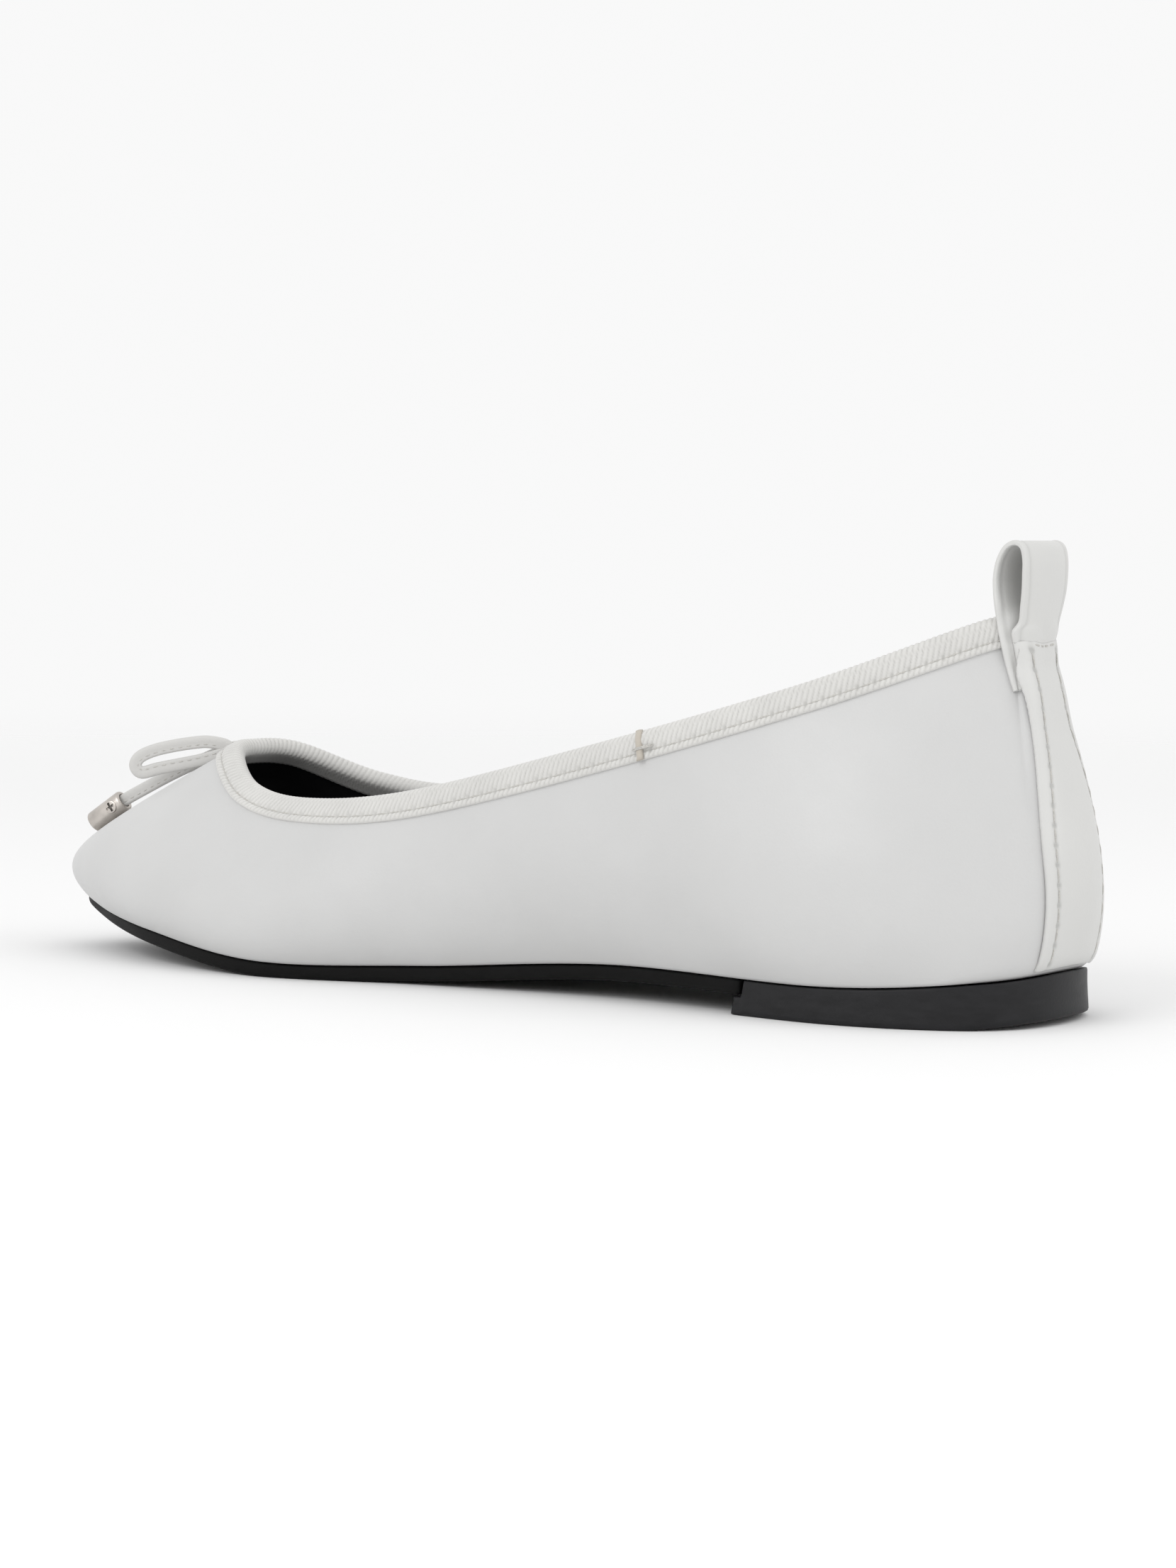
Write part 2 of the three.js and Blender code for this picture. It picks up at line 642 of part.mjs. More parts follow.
const throatFront = pointOn(toplineRing, stationCount / 2);
function ridgeHeightAt(x) {
  const rows = range(seatRow, topRow).map((row) => netPoint(toeColumn, row));
  const k = rows.findIndex((point) => point.x < x);
  const [low, high] = [rows[k - 1], rows[k]];
  return low.clone().lerp(high, (x - low.x) / (high.x - low.x)).z;
}
const knotX = throatFront.x + knotForward;
const knotCentre = new THREE.Vector3(knotX, 0, ridgeHeightAt(knotX) + knotLift);

// A group whose X runs outwards from the knot at an angle in plan, and whose Y points up.
function strandGroup(angle) {
  const turn = new THREE.Group();
  turn.position.copy(knotCentre);
  turn.rotation.z = THREE.MathUtils.degToRad(angle);
  const stand = new THREE.Group();
  stand.rotation.x = Math.PI / 2;
  turn.add(stand);
  shoe.add(turn);
  return stand;
}

// Flat cord with rounded edges along a route; its wide side stands in the route's plane.
function cordBody(route, steps) {
  const [w, t] = [cordWidth / 2, cordThickness / 2];
  const round = t * 0.6;
  const section = new THREE.Shape([
    new THREE.Vector2(-t, -w + round), new THREE.Vector2(-t + round, -w),
    new THREE.Vector2(t - round, -w), new THREE.Vector2(t, -w + round),
    new THREE.Vector2(t, w - round), new THREE.Vector2(t - round, w),
    new THREE.Vector2(-t + round, w), new THREE.Vector2(-t, w - round),
  ]);
  const path = new THREE.CatmullRomCurve3(route.map(([out, high]) => new THREE.Vector3(out, high, 0)));
  return new THREE.ExtrudeGeometry(section, { steps, extrudePath: path, bevelEnabled: false });
}

function solidOf(geometry) {
  const bare = geometry.clone();
  bare.deleteAttribute("normal");
  bare.deleteAttribute("uv");
  const merged = mergeVertices(bare, 1e-4);
  return new wasm.Manifold(
    new wasm.Mesh({
      numProp: 3,
      vertProperties: merged.attributes.position.array,
      triVerts: new Uint32Array(merged.index.array),
    }),
  );
}

function geometryOf(solid) {
  const mesh = solid.getMesh();
  const geometry = new THREE.BufferGeometry();
  geometry.setAttribute("position", new THREE.BufferAttribute(new Float32Array(mesh.vertProperties), 3));
  geometry.setIndex(new THREE.BufferAttribute(new Uint32Array(mesh.triVerts), 1));
  geometry.computeVertexNormals();
  return geometry;
}

// Metal cord end: a cup with its mouth at the origin, along -Y, and a hole across one wall for the screw.
function agletBody() {
  const rim = 0.4;
  const profile = [
    [0, -agletSocket], [agletBoreRadius, -agletSocket], [agletBoreRadius, 0], [agletRadius - rim / 2, 0],
    [agletRadius, -rim / 2], [agletRadius, -agletLength + rim], [agletRadius - rim, -agletLength],
    [0, -agletLength],
  ].map(([x, y]) => new THREE.Vector2(x, y));
  const cup = new THREE.LatheGeometry(profile.reverse(), 20);
  const drill = new THREE.CylinderGeometry(screwShankRadius + gap, screwShankRadius + gap, agletRadius + 1, 12);
  drill.rotateX(Math.PI / 2);
  drill.translate(0, -screwFromMouth, (agletRadius + 1) / 2);
  return geometryOf(solidOf(cup).subtract(solidOf(drill)));
}

// Clamping screw: shank through the wall, round head outside with a cross slot. Its axis is Z.
function screwBody() {
  const shankStartZ = cordThickness / 2 + gap;
  const headZ = agletRadius + gap;
  const profile = [
    [0, shankStartZ], [screwShankRadius, shankStartZ], [screwShankRadius, headZ], [screwHeadRadius, headZ],
    [screwHeadRadius, headZ + screwHeadHeight * 0.6], [screwHeadRadius * 0.7, headZ + screwHeadHeight],
    [0, headZ + screwHeadHeight],
  ].map(([x, y]) => new THREE.Vector2(x, y));
  let solid = solidOf(new THREE.LatheGeometry(profile, 16).rotateX(Math.PI / 2));
  for (const turn of [0, Math.PI / 2]) {
    const slot = new THREE.BoxGeometry(1.6 * screwHeadRadius, screwSlotWidth, screwHeadHeight);
    slot.rotateZ(turn);
    slot.translate(0, 0, headZ + screwHeadHeight * 1.1);
    solid = solid.subtract(solidOf(slot));
  }
  return geometryOf(solid.translate([0, -screwFromMouth, 0]));
}

function addBow() {
  const ball = new THREE.SphereGeometry(1, 18, 12).scale(...knotRadii);
  const knot = addPiece("bow_knot", ball, "cord");
  knot.rotation.y = THREE.MathUtils.degToRad(knotTilt);
  knot.position.copy(knotCentre);
  for (const side of ["medial", "lateral"]) {
    addPiece(`bow_loop_${side}`, cordBody(loopRoute, 30), "cord", strandGroup(strandAngles[`loop_${side}`]));
    const stand = strandGroup(strandAngles[`tail_${side}`]);
    addPiece(`bow_tail_${side}`, cordBody(tailRoute, 14), "cord", stand);
    const end = tailRoute[tailRoute.length - 1];
    const slope = Math.atan2(end[1] - mouth[1], end[0] - mouth[0]);
    const tip = new THREE.Group();
    tip.position.set(mouth[0], mouth[1], 0);
    tip.rotation.z = slope + Math.PI / 2;
    stand.add(tip);
    // The screw faces away from the other tail.
    const face = new THREE.Group();
    if (side === "medial") face.rotation.y = Math.PI;
    tip.add(face);
    addPiece(`aglet_${side}`, agletBody(), "metal", face);
    addPiece(`aglet_screw_${side}`, screwBody(), "metal", face);
  }
}

addPiece("outsole", outsoleBody(), "sole");
addPiece("heel_block", heelBody(), "sole");
addPiece("shank", shankBody(), "steel");
addPiece("bottom_filler", fillerBody(), "foam");
addPiece("insole_board", boardBody(), "board");
addPiece("footbed_foam", footbedSheet(foamBottom, foamTop), "foam");
addPiece("sock_lining", footbedSheet(sockBottom, sockTop), "lining");
addPiece("upper", upperBody(), "upper");
addPiece("vamp_lining", liningBody(liningJoint, columnCount - liningJoint), "lining");
addPiece("quarter_lining", liningBody(-liningJoint, liningJoint), "lining");
addPiece("toe_puff", stiffenerBody(toeColumn - puffColumns, toeColumn + puffColumns, puffTopRow), "stiffener");
addPiece("heel_counter", stiffenerBody(-counterColumns, counterColumns, counterTopRow), "stiffener");
addPiece("heel_grip", gripBody(), "lining");
addPiece("topline_binding", bindingBody(), "ribbon");
addPiece("back_strap", strapBody(), "strap");
addPiece("pull_loop", loopBody(), "strap");
addBow();

// The origin goes to the middle of the box's bottom, measured without the bow's free tails.
shoe.updateMatrixWorld(true);
const box = new THREE.Box3();
for (const name of ["outsole", "heel_block", "upper", "topline_binding", "back_strap", "pull_loop"])
  box.expandByObject(shoe.getObjectByName(name), true);
const centre = box.getCenter(new THREE.Vector3());
shoe.position.set(-centre.x, -centre.y, -box.min.z);

export default shoe;
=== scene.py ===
"""Looks of a ballet slipper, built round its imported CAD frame.

Metres in Blender, millimetres in the shape functions. +X toe, +Y medial side, +Z up.
The wall of the shoe is the same family of ribs as in the CAD model, sampled more finely.
"""
import math

import bpy
import numpy as np
from mathutils import Matrix, Vector, noise


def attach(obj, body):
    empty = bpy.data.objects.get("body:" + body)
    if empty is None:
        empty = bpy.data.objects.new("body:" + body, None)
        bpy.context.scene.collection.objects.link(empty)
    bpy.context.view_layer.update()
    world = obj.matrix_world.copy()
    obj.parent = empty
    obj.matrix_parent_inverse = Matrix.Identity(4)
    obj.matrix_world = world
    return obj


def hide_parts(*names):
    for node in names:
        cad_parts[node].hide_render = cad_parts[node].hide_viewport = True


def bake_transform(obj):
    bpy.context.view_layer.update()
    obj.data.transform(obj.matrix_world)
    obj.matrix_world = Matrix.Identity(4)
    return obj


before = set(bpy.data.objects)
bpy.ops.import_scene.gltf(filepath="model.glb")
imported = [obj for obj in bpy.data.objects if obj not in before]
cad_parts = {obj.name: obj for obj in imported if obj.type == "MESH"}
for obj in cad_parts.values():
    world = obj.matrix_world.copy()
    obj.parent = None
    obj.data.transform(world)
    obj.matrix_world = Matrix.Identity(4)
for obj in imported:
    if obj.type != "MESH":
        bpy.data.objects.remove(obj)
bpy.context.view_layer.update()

MM = 0.001
ORIGIN = np.array([-121.497, 0.730, 0.0])  # zero of the shape functions, in the shared frame

# ---- Camera ----
CAMERA_TURN = 34.84  # degrees in plan from +Y towards -X
CAMERA_RISE = 3.81
CAMERA_ROLL = 0.32
CAMERA_DISTANCE = 0.817
CAMERA_TARGET = Vector((0.0045, -0.0200, 0.0394))
CAMERA_LENS = 88.0  # focal length and sensor width, in millimetres
CAMERA_SENSOR = 36.0


def add_camera():
    turn, rise, roll = (math.radians(angle) for angle in (CAMERA_TURN, CAMERA_RISE, CAMERA_ROLL))
    back = Vector((-math.sin(turn) * math.cos(rise), math.cos(turn) * math.cos(rise), math.sin(rise)))
    level = Vector((-math.cos(turn), -math.sin(turn), 0))
    above = back.cross(level)
    right = level * math.cos(roll) + above * math.sin(roll)
    up = above * math.cos(roll) - level * math.sin(roll)
    data = bpy.data.cameras.new("camera")
    data.lens = CAMERA_LENS
    data.sensor_width = CAMERA_SENSOR
    data.clip_start = 0.01
    camera = bpy.data.objects.new("camera", data)
    bpy.context.scene.collection.objects.link(camera)
    place = Matrix((right, up, back)).transposed().to_4x4()
    place.translation = CAMERA_TARGET + back * CAMERA_DISTANCE
    camera.matrix_world = place
    bpy.context.scene.camera = camera


# ---- The last: stations from the back of the heel to the toe tip ----
# Feather edge, where the wall meets the sole: x, half width medial and lateral, height.
FEATHER = [
    (0, 0, 0, 10.5), (7.5, 19.5, 19.5, 9.06), (37.5, 29, 26.5, 7.04), (90.5, 23, 27, 7.04),
    (135.5, 27, 33, 4.02), (171.5, 35.5, 37, 3.3), (205.5, 29.5, 27, 6.98),
    (231.5, 16.5, 12, 9.74), (245.5, 4, -4, 12.5),
]
# Topline: x, half width medial and lateral, height.
TOPLINE = [
    (9.9, 0, 0, 77.3), (14.1, 8.7, 9.2, 77), (45.5, 24.5, 24.5, 64.5), (92.5, 29, 29, 51),
    (135.5, 29.5, 31.5, 40.5), (164.5, 26, 27, 37.5), (183.5, 20, 23, 39.5),
    (196.7, 9.5, 11, 46), (200, 0, 0, 47.1),
]
# Ribs: outward lean at the foot, inward lean at the top, and the two Bezier handles.
RIBS = [
    (24, 12, 0.33, 0.39), (16, 5, 0.28, 0.38), (31, 13, 0.36, 0.4), (35, 12, 0.35, 0.4),
    (40, 20, 0.35, 0.4), (45, 32, 0.35, 0.42), (48, 45, 0.32, 0.5), (45, 59, 0.32, 0.56),
    (44, 57, 0.27, 0.6),
]
STATIONS = 16  # round the whole ring
LAST_LENGTH = FEATHER[-1][0]

UPPER_THICKNESS = 1.0
CUT_EDGE = 0.9  # the upper ends this far below the topline, inside the binding
LINING_DEPTH = 1.35  # of its outer face below the wall's surface
LINING_THICKNESS = 0.65
STIFFENER_STEP = 1.1  # how far the lining is pushed in by a stiffener
SEAT_HEIGHT = 4.6  # feather edge to the lining's lower edge
SOLE_THICKNESS = 3.0
SOLE_TOE_THICKNESS = 2.0
SOLE_GAP = 0.3  # between the outsole and what lies on it
HEEL_BREAST = 58.5
HEEL_LAP = 2.3  # the outsole's end lies this far over the heel


def smoothstep(x, low, high):
    t = np.clip((np.asarray(x, float) - low) / (high - low), 0, 1)
    return t * t * (3 - 2 * t)


def mix(low, high, share):
    return low + (high - low) * share


def bell(distance, width):
    return np.exp(-((distance / width) ** 2))


def rounding(from_edge, radius):
    """Share of the full thickness, beside an edge with a rounded corner."""
    return np.sqrt(np.clip(1 - (1 - np.clip(from_edge / radius, 0, 1)) ** 2, 0, 1))


def fuller(wave, power):
    """A sine or cosine with flatter tops, for a section between an oval and a box."""
    return np.sign(wave) * np.abs(wave) ** power


def whole_turn(count):
    """Angles spaced evenly round a circle."""
    return np.linspace(0, 2 * math.pi, count, endpoint=False)


def unit(vectors):
    return vectors / np.linalg.norm(vectors, axis=-1, keepdims=True)


def distances(line):
    """Distance travelled along a line of points, up to each point."""
    return np.concatenate([[0], np.linalg.norm(np.diff(line, axis=0), axis=1).cumsum()])


def spline(before, start, end, after, t):
    """Catmull-Rom curve from start to end, shaped by the points before and after them."""
    return 0.5 * (
        2 * start + (end - before) * t
        + (2 * before - 5 * start + 4 * end - after) * t**2
        + (3 * start - before - 3 * end + after) * t**3
    )


def ring_of(medial, lateral):
    """Both sides as one closed ring: medial from heel to toe, then lateral back to the heel."""
    return np.array(list(medial) + list(lateral)[-2:0:-1], float)


def catmull(ring, u):
    """Catmull-Rom curve through a closed ring of values, at station positions u."""
    u = np.asarray(u, float)
    start = np.floor(u).astype(int)
    t = u - start
    if ring.ndim > 1:
        t = t[..., None]
    return spline(*(ring[(start + step) % STATIONS] for step in (-1, 0, 1, 2)), t)


def side_ring(table):
    medial = [(x, half, z) for x, half, _, z in table]
    lateral = [(x, -half, z) for x, _, half, z in table]
    return ring_of(medial, lateral)


FEATHER_RING = side_ring(FEATHER)
TOPLINE_RING = side_ring(TOPLINE)
RIB_RING = ring_of(RIBS, RIBS)


def ring_step(ring, u):
    """A short step along a ring at station positions u."""
    return catmull(ring, u + 1e-3) - catmull(ring, u - 1e-3)


def plan_out(ring, u):
    """Outward direction in plan of a ring: it lies to the left of the ring's own direction."""
    step = ring_step(ring, u)
    return unit(np.stack([-step[..., 1], step[..., 0], np.zeros_like(step[..., 0])], -1))


def feather_height(x):
    """Height of the feather edge at x in the last's own frame."""
    u = np.linspace(0, STATIONS / 2, 600)
    line = catmull(FEATHER_RING, u)
    return np.interp(x, line[:, 0], line[:, 2])


class Wall:
    """The wall's surface as a dense net of ribs with even steps of length along each rib."""

    COLUMNS = 960
    ROWS = 160
    SAMPLES = 240  # along each rib, before its points are spaced evenly

    def __init__(self):
        u = np.arange(self.COLUMNS) * STATIONS / self.COLUMNS
        foot = catmull(FEATHER_RING, u)
        top = catmull(TOPLINE_RING, u)
        foot_lean, top_lean, low_share, high_share = catmull(RIB_RING, u).T
        foot_out = plan_out(FEATHER_RING, u)
        top_out = plan_out(TOPLINE_RING, u)
        along_top = unit(ring_step(TOPLINE_RING, u))
        up = np.array([0, 0, 1.0])
        lean = np.radians(foot_lean)[:, None]
        rise = foot_out * np.sin(lean) + up * np.cos(lean)
        lean = np.radians(top_lean)[:, None]
        arrive = up * np.cos(lean) - top_out * np.sin(lean)
        arrive = unit(arrive - (arrive * along_top).sum(1, keepdims=True) * along_top)
        chord = np.linalg.norm(top - foot, axis=1)[:, None]
        low = foot + rise * chord * low_share[:, None]
        high = top - arrive * chord * high_share[:, None]
        t = np.linspace(0, 1, self.SAMPLES)[None, :, None]
        curve = (
            foot[:, None] * (1 - t) ** 3
            + 3 * low[:, None] * t * (1 - t) ** 2
            + 3 * high[:, None] * t**2 * (1 - t)
            + top[:, None] * t**3
        )
        travelled = np.linalg.norm(np.diff(curve, axis=1), axis=2).cumsum(1)
        travelled = np.concatenate([np.zeros((self.COLUMNS, 1)), travelled], 1)
        self.length = travelled[:, -1]
        even = np.linspace(0, 1, self.ROWS + 1)
        self.points = np.empty((self.COLUMNS, self.ROWS + 1, 3))
        for column in range(self.COLUMNS):
            share = travelled[column] / self.length[column]
            for axis in range(3):
                self.points[column, :, axis] = np.interp(even, share, curve[column, :, axis])
        along = np.roll(self.points, -1, 0) - np.roll(self.points, 1, 0)
        climb = np.gradient(self.points, axis=1)
        self.normals = unit(np.cross(climb, along))
        self.top_arc = distances(np.concatenate([self.points[:, -1], self.points[:1, -1]]))

    def columns_round(self, u):
        """The two columns round station positions u, and the share of the way between them."""
        place = u % STATIONS * self.COLUMNS / STATIONS
        column = np.floor(place).astype(int)
        return column % self.COLUMNS, (column + 1) % self.COLUMNS, place - column

    def read(self, table, u):
        """A per-column value at station positions u."""
        here, beside, t = self.columns_round(np.asarray(u, float))
        return table[here] * (1 - t) + table[beside] * t

    def rib_length(self, u):
        return self.read(self.length, u)

    def at(self, u, down=None, rise=None, depth=0.0):
        """Point and outward normal at station u, at a distance down from the topline or up from the
        feather edge along the rib, at a depth below the surface."""
        u = np.asarray(u, float)
        length = self.rib_length(u)
        share = 1 - down / length if rise is None else rise / length
        u, share, depth = np.broadcast_arrays(u, share, depth)
        here, beside, s = self.columns_round(u)
        s = s[..., None]
        row = np.clip(np.floor(share * self.ROWS).astype(int), 0, self.ROWS - 1)
        t = (share * self.ROWS - row)[..., None]

        def between(table):
            low = table[here, row] * (1 - s) + table[beside, row] * s
            high = table[here, row + 1] * (1 - s) + table[beside, row + 1] * s
            return low * (1 - t) + high * t

        normal = unit(between(self.normals))
        return between(self.points) - normal * depth[..., None], normal

    def station(self, arc):
        """Station position at a distance along the topline from the back."""
        column = np.interp(arc, self.top_arc, np.arange(self.COLUMNS + 1))
        return column * STATIONS / self.COLUMNS

    def beside_back(self, share_up, distance):
        """Station position at a signed distance from the back centre line, at a share of the rib."""
        half = self.COLUMNS // 12
        columns = np.arange(-half, half + 1)
        row = int(round(np.clip(share_up, 0, 1) * self.ROWS))
        arc = distances(self.points[columns, row])
        arc -= arc[half]
        return np.interp(distance, arc, columns * STATIONS / self.COLUMNS)


wall = Wall()


def add_object(name, vertices, faces, material, body, smooth=True):
    mesh = bpy.data.meshes.new(name)
    mesh.from_pydata((np.asarray(vertices) + ORIGIN) * MM, [], faces)
    mesh.validate()
    mesh.update()
    if smooth:
        mesh.shade_smooth()
    mesh.materials.append(material)
    piece = bpy.data.objects.new(name, mesh)
    bpy.context.scene.collection.objects.link(piece)
    if body is not None:
        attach(piece, body)
    face_outwards(piece)
    return piece


def grid_faces(rows, columns, wrap_rows=False, wrap_columns=False, start=0):
    """Quads of a grid of points, numbered row by row."""
    faces = []
    for i in range(rows if wrap_rows else rows - 1):
        j = (i + 1) % rows
        for k in range(columns if wrap_columns else columns - 1):
            n = (k + 1) % columns
            faces.append((start + i * columns + k, start + i * columns + n,
                          start + j * columns + n, start + j * columns + k))
    return faces


def tube_faces(count, around, closed=False, start=0):
    """Faces of a tube through closed sections. Open ends are capped."""
    faces = grid_faces(count, around, wrap_rows=closed, wrap_columns=True, start=start)
    if not closed:
        last = start + (count - 1) * around
        faces.append(tuple(range(start, start + around)))
        faces.append(tuple(reversed(range(last, last + around))))
    return faces


def tube_piece(name, sections, material, body, closed=False, smooth=True, groove_shade=None):
    """A piece swept through closed sections: an array of sections by points.
    The optional painted groove shade, of the same shape, says how deep in a groove each point lies, from
    0 to 1;
    the material darkens the colour there as painted shade."""
    faces = tube_faces(*sections.shape[:2], closed)
    piece = add_object(name, sections.reshape(-1, 3), faces, material, body, smooth)
    if groove_shade is not None:
        layer = piece.data.attributes.new("groove_shade", "FLOAT", "POINT")
        layer.data.foreach_set("value", np.asarray(groove_shade, np.float32).ravel())
    return piece


def band(outer, inner):
    """Sections of a band from rows of its outer face and of its inner face."""
    return np.concatenate([np.array(outer), np.array(inner)[:, ::-1]], 1)


def face_outwards(piece):
    bpy.context.view_layer.objects.active = piece
    for other in bpy.context.selected_objects:
        other.select_set(False)
    piece.select_set(True)
    bpy.ops.object.mode_set(mode="EDIT")
    bpy.ops.mesh.select_all(action="SELECT")
    bpy.ops.mesh.normals_make_consistent(inside=False)
    bpy.ops.object.mode_set(mode="OBJECT")


def stitches(name, runs, material, body, radius=0.2, sink=0.06):
    """Thread seen as short raised bridges. A run is a start point, an end point and a normal."""
    steps, sides = 7, 6
    t = np.linspace(0, 1, steps)[:, None, None]
    arch = np.sin(math.pi * t) ** 0.5
    angle = whole_turn(sides)[:, None]
    vertices, faces = [], []
    for start, end, normal in runs:
        side = unit(np.cross(end - start, normal))
        centre = start + (end - start) * t + normal * (radius * (1.1 * arch - 0.7) - sink)
        spoke = np.cos(angle) * side + np.sin(angle) * normal
        faces += tube_faces(steps, sides, start=len(vertices))
        vertices += list((centre + radius * (0.45 + 0.55 * arch) * spoke).reshape(-1, 3))
    return add_object(name, vertices, faces, material, body)


# ---- Materials ----
def tree_of(material):
    """A material's nodes and links, and the inputs of its shader."""
    tree = material.node_tree
    return tree.nodes, tree.links, tree.nodes["Principled BSDF"].inputs


def new_material(name, colour, roughness, metallic=0.0, **inputs):
    material = bpy.data.materials.new(name)
    material.use_nodes = True
    _, _, shader = tree_of(material)
    shader["Base Color"].default_value = (*colour, 1)
    shader["Roughness"].default_value = roughness
    shader["Metallic"].default_value = metallic
    for key, value in inputs.items():
        shader[key.replace("_", " ")].default_value = value
    return material


def object_noise(material, scale, detail=4.0, stretch=(1, 1, 1)):
    """A noise texture in the object's own space."""
    nodes, links, _ = tree_of(material)
    place = nodes.new("ShaderNodeTexCoord")
    mapping = nodes.new("ShaderNodeMapping")
    mapping.inputs["Scale"].default_value = stretch
    texture = nodes.new("ShaderNodeTexNoise")
    texture.inputs["Scale"].default_value = scale
    texture.inputs["Detail"].default_value = detail
    links.new(place.outputs["Object"], mapping.inputs["Vector"])
    links.new(mapping.outputs["Vector"], texture.inputs["Vector"])
    return texture.outputs["Fac"]


def vary_colour(material, factor, low, high):
    """Base colour between two colours, by a factor."""
    nodes, links, shader = tree_of(material)
    ramp = nodes.new("ShaderNodeValToRGB")
    for element, position, colour in zip(ramp.color_ramp.elements, (0.3, 0.7), (low, high)):
        element.position = position
        element.color = (*colour, 1)
    links.new(factor, ramp.inputs["Fac"])
    links.new(ramp.outputs["Color"], shader["Base Color"])


def paint_groove_shade(material, amount):
    """Painted shade: multiplies the base colour down in the mesh's grooves, where the stored groove
    shade is high.
    """
    nodes, links, shader = tree_of(material)
    base = shader["Base Color"]
    colour = base.links[0].from_socket
    groove_shade = nodes.new("ShaderNodeAttribute")
    groove_shade.attribute_name = "groove_shade"
    darker = nodes.new("ShaderNodeMix")
    darker.data_type = "RGBA"
    darker.blend_type = "MULTIPLY"
    darker.inputs[7].default_value = (amount, amount, amount * 0.99, 1)
    links.new(groove_shade.outputs["Fac"], darker.inputs[0])
    links.new(colour, darker.inputs[6])
    links.new(darker.outputs[2], base)


def vary_roughness(material, factor, low, high):
    nodes, links, shader = tree_of(material)
    spread = nodes.new("ShaderNodeMapRange")
    spread.inputs["To Min"].default_value = low
    spread.inputs["To Max"].default_value = high
    links.new(factor, spread.inputs["Value"])
    links.new(spread.outputs["Result"], shader["Roughness"])


def add_bumps(material, heights):
    """Chained bump nodes: each height is a factor and its height in millimetres."""
    nodes, links, shader = tree_of(material)
    normal = None
    for factor, height in heights:
        bump = nodes.new("ShaderNodeBump")
        bump.inputs["Distance"].default_value = height * MM
        links.new(factor, bump.inputs["Height"])
        if normal is not None:
            links.new(normal, bump.inputs["Normal"])
        normal = bump.outputs["Normal"]
    links.new(normal, shader["Normal"])


def cells(material, scale):
    """Small rounded cells, as in leather grain."""
    nodes, links, _ = tree_of(material)
    place = nodes.new("ShaderNodeTexCoord")
    texture = nodes.new("ShaderNodeTexVoronoi")
    texture.inputs["Scale"].default_value = scale
    links.new(place.outputs["Object"], texture.inputs["Vector"])
    return texture.outputs["Distance"]


def shade(colour, factor):
    return tuple(min(1, factor * part) for part in colour)


def satin_leather(name, colour, roughness=0.42, grain=0.012):
    material = new_material(name, colour, roughness, Specular_IOR_Level=0.5,
                            Sheen_Weight=0.12, Sheen_Roughness=0.4)
    broad = object_noise(material, 38, 3)
    vary_colour(material, broad, shade(colour, 0.965), shade(colour, 1.02))
    fine = object_noise(material, 900, 5)
    vary_roughness(material, fine, roughness - 0.05, roughness + 0.08)
    # painted shade: darkens the colour in the grooves of the strap, the pull loop and their stitching
    paint_groove_shade(material, 0.72)
    add_bumps(material, [(broad, 0.25), (cells(material, 1700), grain), (fine, grain)])
    return material


def grosgrain(name, colour):
    material = new_material(name, colour, 0.8, Sheen_Weight=0.25, Sheen_Roughness=0.5)
    weave = object_noise(material, 2600, 3)
    broad = object_noise(material, 90, 3)
    vary_colour(material, broad, shade(colour, 0.93), colour)
    # painted shade: darkens the colour between the ribs and in the stitch dimples
    paint_groove_shade(material, 0.8)
    add_bumps(material, [(weave, 0.05)])
    return material


def dark_rubber(name, colour, roughness, gloss):
    material = new_material(name, colour, roughness, Specular_IOR_Level=gloss)
    scuffs = object_noise(material, 220, 6, (1, 1, 3))
    vary_colour(material, scuffs, colour, shade(colour, 1.5))
    vary_roughness(material, scuffs, roughness - 0.06, roughness + 0.12)
    add_bumps(material, [(object_noise(material, 1500, 4), 0.03)])
    return material


def plain_detail(name, colour, roughness, metallic=0.0, scale=400, height=0.03, stretch=(1, 1, 1)):
    material = new_material(name, colour, roughness, metallic)
    grain = object_noise(material, scale, 5, stretch)
    vary_colour(material, grain, shade(colour, 0.8), shade(colour, 1.1))
    vary_roughness(material, grain, max(0.05, roughness - 0.08), min(1, roughness + 0.1))
    add_bumps(material, [(grain, height)])
    return material


UPPER = satin_leather("upper_satin", (0.560, 0.560, 0.556))
STRAP = satin_leather("strap_satin", (0.605, 0.604, 0.590), roughness=0.45)
CORD = satin_leather("cord_satin", (0.555, 0.548, 0.532), roughness=0.45, grain=0.02)
RIBBON = grosgrain("grosgrain_ribbon", (0.650, 0.643, 0.622))
RAW_END = grosgrain("ribbon_raw_end", (0.50, 0.46, 0.40))
THREAD = plain_detail("thread", (0.52, 0.51, 0.48), 0.75, scale=3000, height=0.04)
METAL = plain_detail("aglet_metal", (0.60, 0.56, 0.52), 0.30, 0.95, scale=250, height=0.0015)
# painted shade: darkens the colour in the screw's cross slot
paint_groove_shade(METAL, 0.25)
HEEL_BLACK = dark_rubber("heel_black", (0.010, 0.010, 0.011), 0.42, 0.22)
SOLE_BLACK = dark_rubber("sole_black", (0.004, 0.004, 0.004), 0.5, 0.10)
LINING = plain_detail("lining_black", (0.008, 0.008, 0.009), 0.62, scale=1400, height=0.03)
SOCK = plain_detail("insock_black", (0.010, 0.010, 0.011), 0.55, scale=1100, height=0.03)
BOARD = plain_detail("fibre_board", (0.36, 0.25, 0.15), 0.85, scale=500, height=0.05)
FILLER = plain_detail("cork_filler", (0.15, 0.11, 0.07), 0.9, scale=600, height=0.08)
FOAM = plain_detail("foam", (0.07, 0.07, 0.075), 0.95, scale=1800, height=0.06)
STIFFENER = plain_detail("stiffener_sheet", (0.55, 0.48, 0.38), 0.7, scale=800, height=0.03)
STEEL = plain_detail("shank_steel", (0.42, 0.43, 0.45), 0.34, 0.95, scale=500, stretch=(0.1, 3, 1))


